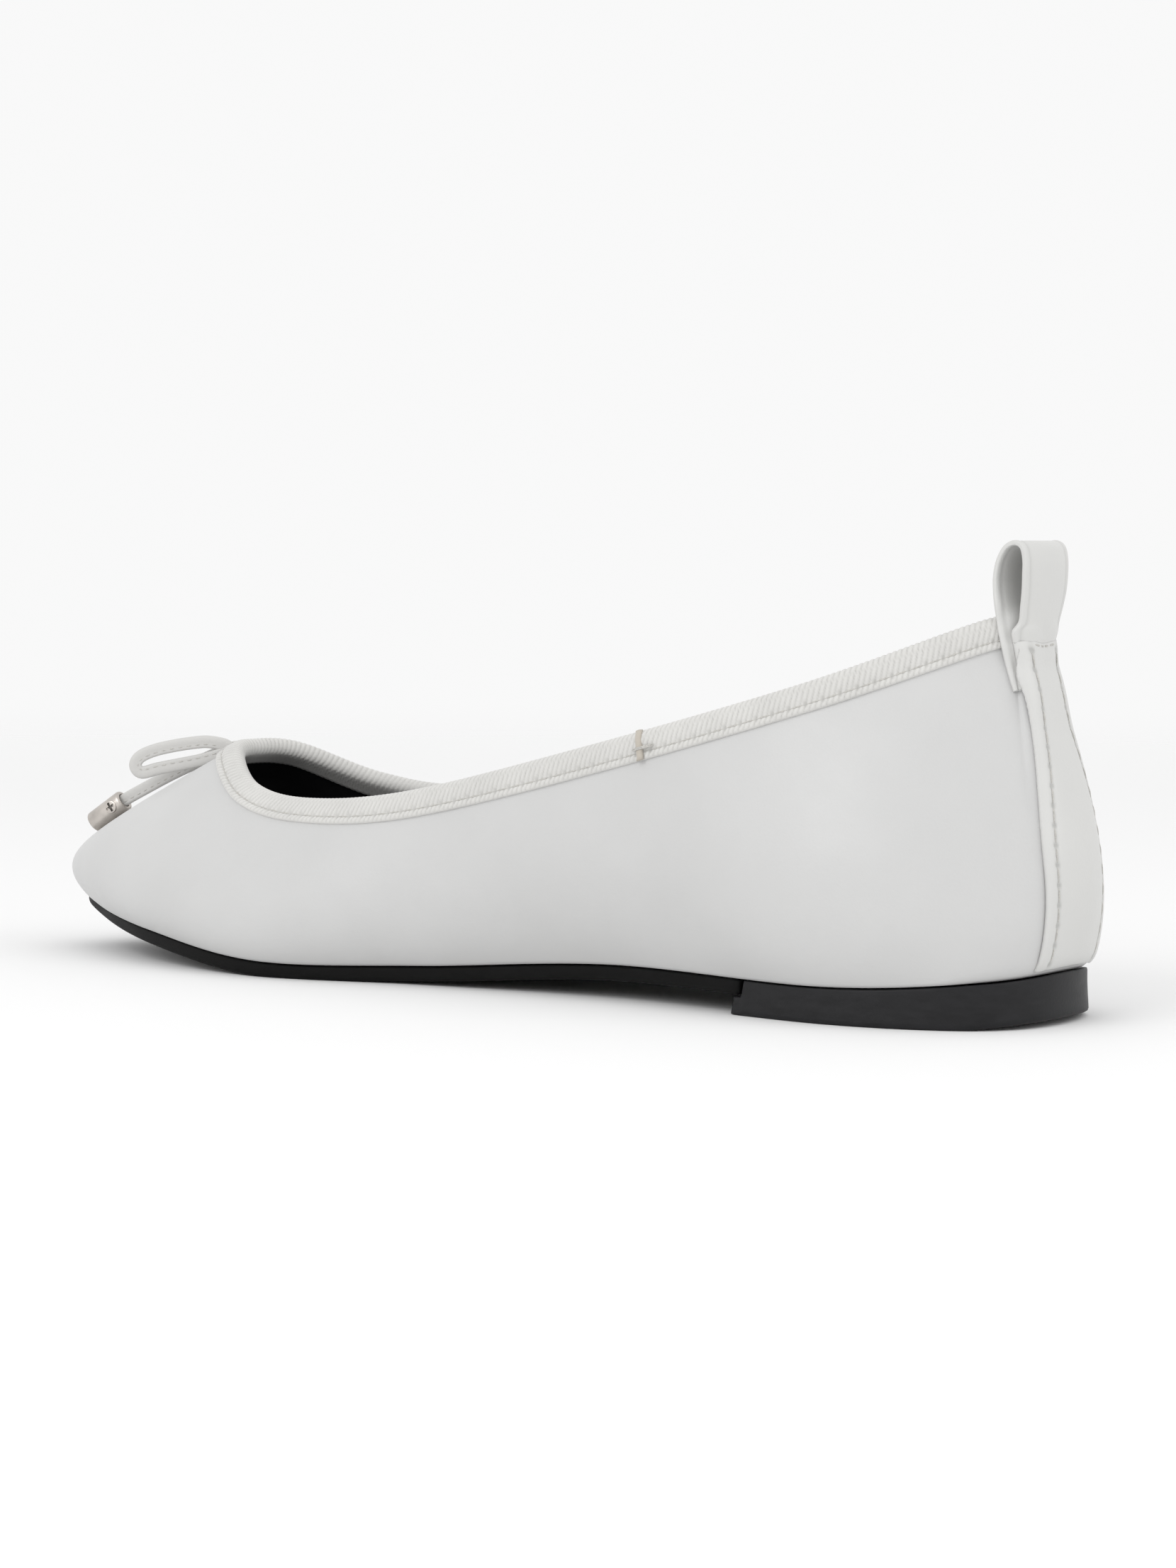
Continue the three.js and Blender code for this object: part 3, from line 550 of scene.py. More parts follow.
# ---- Upper ----
def plan_inset(u, distance, level):
    """Points inside the feather edge, at a level above its height."""
    foot = catmull(FEATHER_RING, u)
    point = foot - plan_out(FEATHER_RING, u) * distance
    point[..., 2] = feather_height(point[..., 0]) + level
    return point


def even_stations(count):
    return np.arange(count) * STATIONS / count


def lining_rise(u, share):
    """Height up the rib, at a share of the way from the lining's lower edge to its upper edge."""
    return mix(SEAT_HEIGHT, wall.rib_length(u) - CUT_EDGE, share)


TURNED_IN = 4.5  # how much of the upper's margin under the shoe is made
# The rounded corner at the foot of the wall, along the sides and at the back of the heel.
CORNER_IN = (0.8, 1.8)
CORNER_UP = (0.9, 3.0)


def add_upper():
    u = even_stations(640)
    foot = catmull(FEATHER_RING, u)
    at_heel = smoothstep(foot[:, 0], 16, 4)
    corner_up = mix(*CORNER_UP, at_heel)
    under = plan_inset(u, mix(*CORNER_IN, at_heel)[:, None], 0)
    above, _ = wall.at(u, rise=corner_up)
    rows = [plan_inset(u, distance, 0) for distance in (TURNED_IN, 2.8)]
    for t in np.linspace(0, 1, 7):
        rows.append(under * (1 - t) ** 2 + 2 * foot * t * (1 - t) + above * t**2)
    for share in np.linspace(0, 1, 56)[1:]:
        point, normal = wall.at(u, rise=mix(corner_up, wall.rib_length(u) - CUT_EDGE, share))
        rows.append(point + normal * drape(point, share)[:, None])
    for share in np.linspace(1, 0, 12):
        rows.append(wall.at(u, rise=lining_rise(u, share), depth=UPPER_THICKNESS)[0])
    rows += [plan_inset(u, distance, UPPER_THICKNESS) for distance in (2.4, TURNED_IN)]
    piece = tube_piece("upper_skin", np.stack(rows, 1), UPPER, "shoe", closed=True)
    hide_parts("upper")


def drape(points, share):
    """Small unevenness of satin over the last, in millimetres, fading out at both edges."""
    fade = math.sin(math.pi * min(1, max(0, share))) ** 0.7
    heights = np.empty(len(points))
    for i, (x, y, z) in enumerate(points):
        broad = noise.noise(Vector((x / 17, y / 17, z / 13)))
        fold = noise.noise(Vector((x / 6 + 9, y / 6, z / 26)))
        heights[i] = 0.12 * broad + 0.05 * fold
    return heights * fade


# ---- Binding ----
BINDING_WIDTH = 6.2  # from the topline down, outside and inside
RIB_PITCH = 1.13
RIB_HEIGHT = 0.26
RIB_SLANT = -0.5  # tops lean towards the heel on the medial side
STITCH_DOWN = 4.7
STITCH_PITCH = 3.4
PRESSED = 0.35  # share of its outer height that the ribbon loses under the strap


def binding_section():
    """The binding's outer line: distance down from the topline and depth, from the outer lower edge
    over the crown to the inner lower edge."""
    outer = [(BINDING_WIDTH, -0.12), (6.15, -0.5), (5.9, -0.72), (5.5, -0.8), (5.1, -0.72),
             (4.7, -0.56), (4.3, -0.72), (3.8, -0.9), (3.3, -0.98), (2.8, -1.02), (2.3, -1.03)]
    crown = []
    for angle in np.linspace(0, math.pi, 15)[1:-1]:
        crown.append((1.8 - 1.75 * math.sin(angle), 1.0 - 2.03 * math.cos(angle)))
    inner = [(2.3, 3.0), (3.2, 2.95), (4.2, 2.85), (5.2, 2.8), (6.0, 2.75),
             (BINDING_WIDTH, 2.5)]
    return np.array(outer + crown + inner)


def stitch_dip(arc):
    """How deep the thread pulls the ribbon in, with the deepest point at each needle hole."""
    phase = arc / STITCH_PITCH % 1
    from_hole = np.minimum(phase, 1 - phase) * STITCH_PITCH
    return 0.26 * bell(from_hole, 0.4)


def add_binding():
    total = wall.top_arc[-1]
    count = 3200
    arc = np.arange(count) * total / count
    u = wall.station(arc)
    pitch = total / round(total / RIB_PITCH)
    rows, groove_shades = [], []
    pressed = 1 - PRESSED * smoothstep(np.minimum(arc, total - arc), 10.0, 7.5)
    for down, depth in binding_section():
        outside = depth < 1.0
        point, normal = wall.at(u, down=down, depth=depth * pressed if depth < 0 else depth)
        lean = RIB_SLANT * (down if outside else -down)
        rib = np.abs(np.sin(math.pi * (arc + lean) / pitch)) ** 0.75
        fade = smoothstep(down, BINDING_WIDTH, BINDING_WIDTH - 0.3) * (1 if outside else 0.6)
        direction = normal if depth < 0 else unit(normal * (1.0 - depth) + crown_up(u, down))
        height = fade * RIB_HEIGHT * (rib - 0.75) * pressed
        # painted shade between the ribs, deepest at the bottom of each groove
        groove_shade = fade * (1 - rib) ** 1.5
        if outside and down > 4.0:
            near = bell(down - STITCH_DOWN, 0.5)
            height = height * (1 - 0.5 * near) - near * stitch_dip(arc)
            # painted shade in the dimples the thread pulls in at the needle holes
            groove_shade = np.clip(groove_shade + near * stitch_dip(arc) * 4, 0, 1)
        rows.append(point + direction * height[:, None])
        groove_shades.append(groove_shade)
    for down, depth in binding_section()[::-1]:
        inner_depth = depth + 0.45 if depth < 1.0 else depth - 0.45
        inner_down = min(BINDING_WIDTH - 0.1, down + 0.5 if 0 < depth < 2 else down)
        rows.append(wall.at(u, down=inner_down, depth=inner_depth)[0])
        groove_shades.append(np.zeros_like(u))
    piece = tube_piece("binding_ribbon", np.stack(rows, 1), RIBBON, "shoe", closed=True,
                       groove_shade=np.stack(groove_shades, 1))
    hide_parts("topline_binding")


def crown_up(u, down):
    """Direction from a point of the crown away from its middle, along the rib."""
    top, _ = wall.at(u, down=0.0)
    below, _ = wall.at(u, down=1.0)
    return unit(top - below) * (1.8 - down)


def thread_run(start, end, down, depth):
    """A stitch between two distances along the topline: its two ends, and the normal at the second."""
    first, _ = wall.at(wall.station(start), down=down, depth=depth)
    last, normal = wall.at(wall.station(end), down=down, depth=depth)
    return first, last, normal


def add_binding_stitches():
    runs = []
    for stitch in range(round(wall.top_arc[-1] / STITCH_PITCH)):
        start, end = (stitch + 0.1) * STITCH_PITCH, (stitch + 0.9) * STITCH_PITCH
        runs.append(thread_run(start, end, STITCH_DOWN, -0.62))
    piece = stitches("binding_thread", runs, THREAD, "shoe", radius=0.16)


JOINT_STATION = 2.725  # where the ribbon's two ends meet, on the medial side
JOINT_WIDTH = 1.5
JOINT_DOWNS = (0.2, 0.9, 1.8, 2.8, 3.8, 4.8, 5.6, 6.3)
# Across the folded end: share of its half width, and depth.
JOINT_SECTION = ((-1, -0.75), (-0.8, -1.3), (-0.2, -1.45), (0.45, -1.35), (0.9, -1.2), (1, -0.75))


def add_binding_joint():
    """The ribbon's folded raw ends, and the bar of thread that holds them."""
    stations = np.arange(wall.COLUMNS + 1) * STATIONS / wall.COLUMNS
    middle = np.interp(JOINT_STATION, stations, wall.top_arc)
    rows = []
    for down in JOINT_DOWNS:
        ragged = 0.22 * noise.noise(Vector((down * 1.3, 4.2, 0)))
        crown = 0.45 * smoothstep(down, 1.6, 0.2)
        section = []
        for side, depth in JOINT_SECTION:
            u = wall.station(middle + side * JOINT_WIDTH / 2 + ragged)
            section.append(wall.at(u, down=down, depth=depth + crown)[0])
        rows.append(section)
    piece = tube_piece("binding_raw_end", np.array(rows), RAW_END, "shoe")
    runs = []
    for down in (3.9, 4.15):
        rear, front, normal = thread_run(middle - 3.4, middle + 1.4, down, -1.42)
        runs.append((front, rear, normal))
    bar = stitches("binding_bar_tack", runs, THREAD, "shoe", radius=0.2, sink=0)


# ---- Linings and insock ----
def lining_depth(u, share):
    """The lining steps inwards over the heel counter and the toe puff."""
    from_back = np.minimum(u % STATIONS, STATIONS - u % STATIONS)
    from_toe = np.abs(u % STATIONS - STATIONS / 2)
    counter = smoothstep(from_back, 2.35, 2.0) * smoothstep(share, 0.9, 0.8)
    puff = smoothstep(from_toe, 1.35, 1.0) * smoothstep(share, 0.75, 0.65)
    return LINING_DEPTH + STIFFENER_STEP * np.maximum(counter, puff)


def add_lining():
    u = even_stations(480)
    outer, inner = [], []
    for share in np.linspace(0, 1, 40):
        rise = lining_rise(u, share)
        depth = lining_depth(u, share)
        outer.append(wall.at(u, rise=rise, depth=depth)[0])
        inner.append(wall.at(u, rise=rise, depth=depth + LINING_THICKNESS)[0])
    sections = np.stack(outer + inner[::-1], 1)
    piece = tube_piece("inner_lining", sections, LINING, "shoe", closed=True)
    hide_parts("vamp_lining", "quarter_lining")


GRIP_HALF = 9.6
GRIP_REACH = (0.34, 0.76)  # its lower and upper ends, as shares of the rib


def add_heel_grip():
    outer, inner = [], []
    across = np.linspace(-1, 1, 25)
    edge = np.sqrt(1 - np.abs(across) ** 8)
    for place in np.linspace(-1, 1, 22):
        share = mix(*GRIP_REACH, (place + 1) / 2)
        half = GRIP_HALF * (1 - 0.5 * place**4) * math.sqrt(max(0.02, 1 - place**6))
        u = wall.beside_back(share, across * half)
        rise = wall.rib_length(u) * share
        depth = lining_depth(u, share) + LINING_THICKNESS
        outer.append(wall.at(u, rise=rise, depth=depth + 0.28)[0])
        inner.append(wall.at(u, rise=rise, depth=depth + 0.3 + 0.6 * edge)[0])
    piece = tube_piece("heel_grip_patch", band(outer, inner), SOCK, "shoe")
    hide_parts("heel_grip")


def spread_inwards(ring, shares, height):
    """Rings shrunk towards the middle line between the two sides, with heights from a function."""
    x = np.clip(ring[:, 0], ring[:, 0].min() + 12, ring[:, 0].max() - 12)
    half = len(ring) // 2
    sides = (ring[: half + 1], np.concatenate([ring[half:], ring[:1]])[::-1])
    middle = 0.5 * sum(np.interp(x, side[:, 0], side[:, 1]) for side in sides)
    spine = np.stack([x, middle, np.zeros_like(x)], 1)
    rings = []
    for share in shares:
        point = mix(ring, spine, share)
        point[:, 2] = height(point[:, 0], share)
        rings.append(point)
    return rings


SOCK_LEVEL = 6.8  # top of the insock above the feather edge
SOCK_THICKNESS = 0.75
SOCK_CLEARANCE = 0.85  # to the lining round it


def add_insock():
    u = even_stations(480)
    ring = np.empty((len(u), 3))
    levels = []
    for share in np.linspace(0, 0.5, 60):
        depth = lining_depth(u, share) + LINING_THICKNESS
        levels.append(wall.at(u, rise=wall.rib_length(u) * share, depth=depth)[0])
    levels = np.array(levels)
    above = levels[..., 2] - feather_height(levels[..., 0])
    for i in range(len(u)):
        first = int(np.argmax(above[:, i] > SOCK_LEVEL))
        t = (SOCK_LEVEL - above[first - 1, i]) / (above[first, i] - above[first - 1, i])
        ring[i] = mix(levels[first - 1, i], levels[first, i], t)
    ring -= plan_out(FEATHER_RING, u) * SOCK_CLEARANCE

    def top(x, share):
        return feather_height(x) + SOCK_LEVEL - 0.15 * bell(share, 0.05)

    def bottom(x, share):
        return feather_height(x) + SOCK_LEVEL - SOCK_THICKNESS

    shares = (0, 0.012, 0.04, 0.1, 0.2, 0.35, 0.5, 0.7, 0.86, 0.995)
    rows = spread_inwards(ring, shares[::-1], bottom) + spread_inwards(ring, shares, top)
    piece = tube_piece("insock", np.stack(rows, 0), SOCK, "shoe")
    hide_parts("sock_lining")


# ---- Sole and heel ----
def sole_thickness(x):
    return mix(SOLE_THICKNESS, SOLE_TOE_THICKNESS, smoothstep(x / LAST_LENGTH, 0.8, 1))


def cut_ring(inset, cut, forward, level_at):
    """The feather outline drawn in by an inset, on one side of a straight cut across the shoe at x:
    its part ahead of the cut, or behind it. The cut itself is drawn in by the inset too."""
    cut = cut + inset if forward else cut - inset
    u = np.linspace(0, STATIONS, 1601)
    outline = plan_inset(u, inset, 0)
    half = len(u) // 2
    medial = np.interp(cut, outline[: half + 1, 0], u[: half + 1])
    lateral = np.interp(cut, outline[half:, 0][::-1], u[half:][::-1])
    run = np.linspace(medial, lateral, 420) if forward else np.linspace(lateral - STATIONS, medial, 420)
    side = plan_inset(run, inset, 0)
    across = np.linspace(side[-1], side[0], 30)[1:-1]
    ring = np.concatenate([side, across])
    ring[:, 2] = level_at(ring[:, 0])
    return ring


def shrink_ring(ring, share, level_at):
    """A ring shrunk towards its own middle line, with heights from a function of x."""
    low, high = ring[:, 0].min(), ring[:, 0].max()
    reach = 0.35 * (high - low)
    x = np.clip(ring[:, 0], low + reach * 0.5, high - reach * 0.5)
    middle = np.stack([x, np.full_like(x, ring[:, 1].mean()), x], 1)
    point = mix(ring, middle, share)
    point[:, 2] = level_at(point[:, 0])
    return point


def add_outsole():
    start = HEEL_BREAST - HEEL_LAP + SOLE_GAP

    def top_at(x):
        return feather_height(x) - SOLE_GAP

    def bottom_at(x):
        return np.maximum(0, top_at(x) - sole_thickness(x))

    profile = [(1.3, 0.0), (1.0, 0.0), (0.9, 0.12), (0.9, 0.35), (0.9, 0.72), (0.98, 0.88), (1.2, 0.97),
               (1.6, 1.0)]
    rows = stacked_rings(profile, start, True, top_at, bottom_at)
    piece = tube_piece("outsole_sheet", rows, SOLE_BLACK, "shoe")
    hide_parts("outsole")


def stacked_rings(profile, cut, forward, top_at, bottom_at):
    """Rings from the middle of the top face, down the edge, to the middle of the bottom face.
    The edge's profile is given as insets and shares of the way down."""
    inward = (0.99, 0.7, 0.4, 0.15, 0.04)
    first = cut_ring(profile[0][0], cut, forward, top_at)
    rows = [shrink_ring(first, share, top_at) for share in inward]
    for inset, share in profile:
        ring = cut_ring(inset, cut, forward, top_at)
        ring[:, 2] = mix(top_at(ring[:, 0]), bottom_at(ring[:, 0]), share)
        rows.append(ring)
    rows += [shrink_ring(rows[-1], share, bottom_at) for share in inward[::-1]]
    return np.stack(rows, 0)


HEEL_BEVEL = 1.3  # the back lower edge is lifted this far off the ground
HEEL_BEVEL_LENGTH = 10


def add_heel():
    step = HEEL_BREAST - HEEL_LAP

    def top_at(x):
        lower = smoothstep(x, step - 0.05, step)
        return feather_height(x) - SOLE_GAP - lower * (SOLE_THICKNESS + SOLE_GAP)

    def foot_at(x):
        return HEEL_BEVEL * np.clip(1 - x / HEEL_BEVEL_LENGTH, 0, 1)

    profile = [(0.7, 0.0), (0.3, 0.0), (0.2, 0.05), (0.18, 0.3), (0.05, 0.6), (-0.1, 0.85),
               (-0.12, 0.93), (0.02, 0.98), (0.35, 1.0), (0.8, 1.0)]
    rows = stacked_rings(profile, HEEL_BREAST, False, top_at, foot_at)
    piece = tube_piece("heel_stack", rows, HEEL_BLACK, "shoe")
    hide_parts("heel_block")


# ---- Back strap and pull loop ----
STRAP_TOP_DOWN = 5.6  # the strap's stitched part ends this far below the topline
STRAP_STITCH_IN = 2.5
STRAP_STITCH_PITCH = 3.7
STRAP_THICKNESS = 0.95
STRAP_TOP_HALF = 6.8
STRAP_FOOT_HALF = 11.1
RIM_HEIGHT = 0.10  # the strap's edges stand this much higher than its middle


def strap_lift(down):
    """How far the strap's inner face stands off the wall: it climbs over the tab and the binding,
    and tucks in with the rounded heel at its foot."""
    tuck = np.clip((4.0 - (wall.length[0] - down)) / 3.6, 0, 1)
    foot = 1.5 * (1 - math.sqrt(1 - tuck**2))
    return 0.1 + 0.75 * smoothstep(down, 24.0, 13.0) + 0.75 * smoothstep(down, 11.0, 6.0) - foot


def strap_half(share_up):
    return mix(STRAP_FOOT_HALF, STRAP_TOP_HALF, smoothstep(share_up, 0.3, 0.8))


def strap_face(share_up, across, lift):
    """Points and normals of the strap at a share of the rib's height: across runs from -1 to 1."""
    u = wall.beside_back(share_up, across * strap_half(share_up))
    return wall.at(u, rise=wall.rib_length(u) * share_up, depth=-lift)


def add_back_strap():
    across = np.sin(np.linspace(-1, 1, 49) * math.pi / 2)
    length = wall.length[0]
    outer, inner, groove_shades = [], [], []
    for down in np.linspace(length - 0.9, STRAP_TOP_DOWN, 190):
        share = 1 - down / length
        base = strap_lift(down)
        from_edge = (1 - np.abs(across)) * strap_half(share)
        round_edge = rounding(from_edge, 0.7)
        groove = bell(from_edge - STRAP_STITCH_IN, 0.34)
        phase = down / STRAP_STITCH_PITCH % 1
        hole = bell(min(phase, 1 - phase) * STRAP_STITCH_PITCH, 0.55)
        # painted shade in the stitch groove, darkest at the needle holes
        stitch_groove_shade = np.clip(groove * (0.25 + 1.6 * hole), 0, 1.6)
        groove_shades.append(np.concatenate([stitch_groove_shade, np.zeros_like(across)]))
        raised = RIM_HEIGHT * smoothstep(from_edge, STRAP_STITCH_IN - 0.2, STRAP_STITCH_IN - 1.2)
        thick = STRAP_THICKNESS * (0.3 + 0.7 * round_edge) + raised - groove * (0.12 + 0.24 * hole)
        outer.append(strap_face(share, across, base + thick)[0])
        inner.append(strap_face(share, across, base)[0])
    piece = tube_piece("back_strap_band", band(outer, inner), STRAP, "shoe", groove_shade=np.array(groove_shades))
    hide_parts("back_strap")
    add_strap_stitches()


def strap_point(down, across, extra=0.0):
    """A point on the strap's outer face, and the normal there."""
    lift = strap_lift(down) + STRAP_THICKNESS + extra
    point, normal = strap_face(1 - down / wall.length[0], np.array([across]), lift)
    return point[0], normal[0]


def add_strap_stitches():
    runs = []
    for side in (-1, 1):
        down = STRAP_STITCH_PITCH * 2
        while down < wall.length[0] - 3:
            ends = []
            for place in (down + 0.5, down + STRAP_STITCH_PITCH - 0.5):
                half = strap_half(1 - place / wall.length[0])
                ends.append(strap_point(place, side * (1 - STRAP_STITCH_IN / half)))
            runs.append((ends[0][0], ends[1][0], ends[1][1]))
            down += STRAP_STITCH_PITCH
    down = STRAP_TOP_DOWN + 0.7
    for stitch in range(-2, 2):
        first, last = (strap_point(down, (stitch + end) * 0.29, 0.06) for end in (0.12, 0.88))
        runs.append((first[0], last[0], first[1]))
    piece = stitches("strap_thread", runs, THREAD, "shoe", radius=0.17)


# The loop is one band. Its front leg is laid on the wall and the binding, ends below the binding and is
# covered by the strap. Its rear leg goes on from the strap's top end. Both legs are given as distances
# down from the topline, and lifts of the middle line off the wall.
FRONT_LEG = [(14.6, 0.45), (12.2, 0.45), (9.8, 0.5), (7.8, 0.85), (5.8, 1.25), (3.4, 1.3), (1.0, 1.3)]
REAR_LEG = [(3.6, 2.9), (5.6, 2.07)]
ACROSS = np.sin(np.linspace(-1, 1, 41) * math.pi / 2)  # shares of the half width
FRONT_HALF = 7.5
FRONT_SHIFT = 1.2  # the front leg is folded a little askew, towards the medial side
LOOP_HALF = 8.6  # at the top of the loop
LOOP_STITCH_IN = 1.6
# The free part on the centre plane: x, z, how far its edges bend forward round the heel, half width.
LOOP_LINE = [
    (9.4, 79.8, 2.2, 8.6), (10.4, 82.4, 1.6, 8.6), (10.9, 85.2, 1.2, 8.6), (10.5, 88.2, 1.0, 8.6),
    (9.3, 90.6, 0.8, 8.6), (7.5, 91.5, 0.7, 8.6), (5.9, 90.7, 0.7, 8.6), (5.2, 88.4, 0.8, 8.6),
    (5.1, 85.4, 0.9, 8.6), (5.2, 82.4, 1.0, 8.4), (5.5, 79.4, 1.2, 8.0), (5.8, 76.5, 1.5, 7.6),
]
LOOP_THICKNESS = 0.85


def smooth_line(points, count):
    """An open Catmull-Rom curve through points, sampled evenly in its own parameter."""
    points = np.array(points, float)
    padded = np.concatenate([[2 * points[0] - points[1]], points, [2 * points[-1] - points[-2]]])
    place = np.linspace(0, len(points) - 1 - 1e-9, count)
    start = np.floor(place).astype(int)
    t = (place - start).reshape((-1,) + (1,) * (points.ndim - 1))
    return spline(*(padded[start + step] for step in range(4)), t)


def line_on_wall(down, lift, half, shift=0.0):
    """A line across the back, laid on the wall, its middle shifted sideways."""
    share = 1 - down / wall.length[0]
    u = wall.beside_back(share, ACROSS * half + shift)
    return wall.at(u, rise=wall.rib_length(u) * share, depth=-lift)[0]


def add_pull_loop():
    lines = [line_on_wall(down, lift, FRONT_HALF, FRONT_SHIFT) for down, lift in FRONT_LEG]
    for place, (x, z, bend, half) in enumerate(LOOP_LINE):
        shift = FRONT_SHIFT * 0.62 ** (place + 1)
        lines.append(np.stack([x + bend * ACROSS**2, ACROSS * half + shift, np.full_like(ACROSS, z)], 1))
    lines += [line_on_wall(down, lift, STRAP_TOP_HALF) for down, lift in REAR_LEG]
    middle = smooth_line(lines, 190)
    along, side = np.gradient(middle, axis=0), np.gradient(middle, axis=1)
    normal = unit(np.cross(side, along))
    from_edge = (1 - np.abs(ACROSS)) * LOOP_HALF
    groove = bell(from_edge - LOOP_STITCH_IN, 0.4)
    rim = RIM_HEIGHT * smoothstep(from_edge, 1.5, 0.9)
    half = LOOP_THICKNESS / 2 * (0.3 + 0.7 * rounding(from_edge, 0.6)) + rim - 0.1 * groove
    sections = band(middle + normal * half[:, None], middle - normal * half[:, None])
    # painted shade in the stitch grooves on both faces
    groove_shade = np.tile(np.concatenate([groove, groove[::-1]]) * 0.35, (len(sections), 1))
    piece = tube_piece("pull_loop_band", sections, STRAP, None, groove_shade=groove_shade)
    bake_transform(piece)
    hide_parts("pull_loop")


# ---- Bow ----
KNOT = np.array([204.8, 0.0, 46.97])
KNOT_TILT = 31  # degrees, with the ridge's fall
KNOT_REACH = 2.4
KNOT_HEIGHT = 0.95
KNOT_SEAT = KNOT + (2.6, 0, -2.3)  # the soft knot lies on the ridge just ahead of the binding
CORD_WIDTH = 2.8
CORD_THICKNESS = 1.6
CORD_STITCH_START = 3.0
CORD_STITCH_PITCH = 1.9
CORD_STITCH_LENGTH = 1.25
STRAND_TURN = {"loop_medial": 36, "loop_lateral": -62, "tail_medial": 11, "tail_lateral": -14}
# Routes in each strand's upright plane: distance from the knot's centre, and height.
LOOP_ROUTES = {
    "medial": [
        (2.4, -1.9), (4, -1.1), (7, -0.6), (9.6, -0.7), (14.3, -1.4), (19, -2.5), (22.2, -4),
        (23.2, -5.9), (21.8, -7.4), (18.1, -6.5), (13.6, -5.6), (9.6, -4.8), (6.5, -4.0),
        (4.7, -3.4), (2.7, -2.6),
    ],
    "lateral": [
        (2.4, -1.9), (4, -1.8), (7, -2.0), (9.6, -2.5), (14.3, -3.6), (19, -5.0), (22.2, -7.2),
        (23.2, -9.4), (21.8, -10.8), (18.1, -8.7), (13.6, -6.0), (9.6, -4.2), (6.5, -3.1),
        (4.7, -2.5), (2.7, -2.2),
    ],
}
TAIL_ROUTE = [
    (3.6, -2.0), (4.7, -2.6), (7.7, -4), (12.3, -5.9), (18.3, -8.6), (24.3, -11.6), (29.6, -14.4),
    (34.1, -17.5),
]
TAIL_MOUTH = TAIL_ROUTE[-2]  # where the cord goes into its metal end
TAIL_FALL = {"medial": 0.0, "lateral": 0.05}  # the far tail hangs lower, this much for each mm outwards


def strand_axes(name):
    turn = math.radians(STRAND_TURN[name])
    out = np.array([math.cos(turn), math.sin(turn), 0])
    side = np.array([-math.sin(turn), math.cos(turn), 0])
    return out, side


def strand_points(name, route, count):
    out, _ = strand_axes(name)
    line = smooth_line(route, count)
    return KNOT + line[:, :1] * out + line[:, 1:] * np.array([0, 0, 1.0])


def fallen(route, side_name):
    return [(reach, height - TAIL_FALL[side_name] * reach) for reach, height in route]


def cord_sections(points, side):
    """Flat cord: its wide side stands in the plane of the route, with a groove beside one edge."""
    high = unit(np.cross(side, unit(np.gradient(points, axis=0))))
    angle = whole_turn(24)
    wide = fuller(np.cos(angle), 0.7) * CORD_WIDTH / 2
    thick = fuller(np.sin(angle), 0.6) * CORD_THICKNESS / 2 * (1 - 0.16 * bell(wide - 0.55, 0.25))
    sections = points[:, None] + wide[:, None] * high[:, None] + thick[:, None] * side
    return sections, high


def cord_stitches(name, points, side, high, body):
    runs = []
    arc = distances(points)

    def along_cord(table, place):
        return np.array([np.interp(place, arc, table[:, axis]) for axis in range(3)])

    start = CORD_STITCH_START
    while start < arc[-1] - CORD_STITCH_START:
        for face in (-side, side):
            ends = []
            for place in (start, start + CORD_STITCH_LENGTH):
                seam = along_cord(points, place) + along_cord(high, place) * 0.55
                ends.append(seam + face * CORD_THICKNESS / 2 * 0.86)
            runs.append((ends[0], ends[1], face))
        start += CORD_STITCH_PITCH
    piece = stitches(name, runs, THREAD, body, radius=0.13)
    return piece


def add_strand(kind, side_name, points, body):
    """The cord of a loop or a tail, and the thread along it."""
    _, side = strand_axes(f"{kind}_{side_name}")
    sections, high = cord_sections(points, side)
    piece = tube_piece(f"bow_{kind}_cord_{side_name}", sections, CORD, body)
    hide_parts(f"bow_{kind}_{side_name}")
    return piece, cord_stitches(f"bow_{kind}_thread_{side_name}", points, side, high, body)


def add_bow_loop(side_name):
    points = strand_points(f"loop_{side_name}", LOOP_ROUTES[side_name], 90)
    for piece in add_strand("loop", side_name, points, None):
        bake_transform(piece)


def add_bow_tail(side_name):
    body = f"bow_tail_{side_name}"
    points = strand_points(f"tail_{side_name}", fallen(TAIL_ROUTE, side_name), 60)
    piece, thread = add_strand("tail", side_name, points, body)
    cup, screw = add_aglet(side_name, body)
    length = distances(points)[-1] * MM


# ---- Cord ends ----
AGLET_SIDES = 56
# The cup's outline: radius, and distance along its axis from the mouth.
AGLET_PROFILE = [
    (0.05, 6.0), (1.5, 6.0), (1.55, 5.8), (1.55, 0.3), (1.65, 0.08), (1.85, 0.0), (2.15, 0.06),
    (2.38, 0.24), (2.5, 0.6), (2.5, 8.9), (2.45, 9.2), (2.3, 9.42), (2.1, 9.5), (1.2, 9.5), (0.05, 9.5),
]
SCREW_PLACE = 2.6  # from the cup's mouth
SCREW_SIDES = 72
SCREW_HEAD = 1.4
SCREW_RIM = 2.62  # height of the head's rim and of its dome, from the cup's axis
SCREW_DOME = 0.2
SLOT_HALF = 0.26
SLOT_REACH = 1.05
SLOT_DEPTH = 0.3


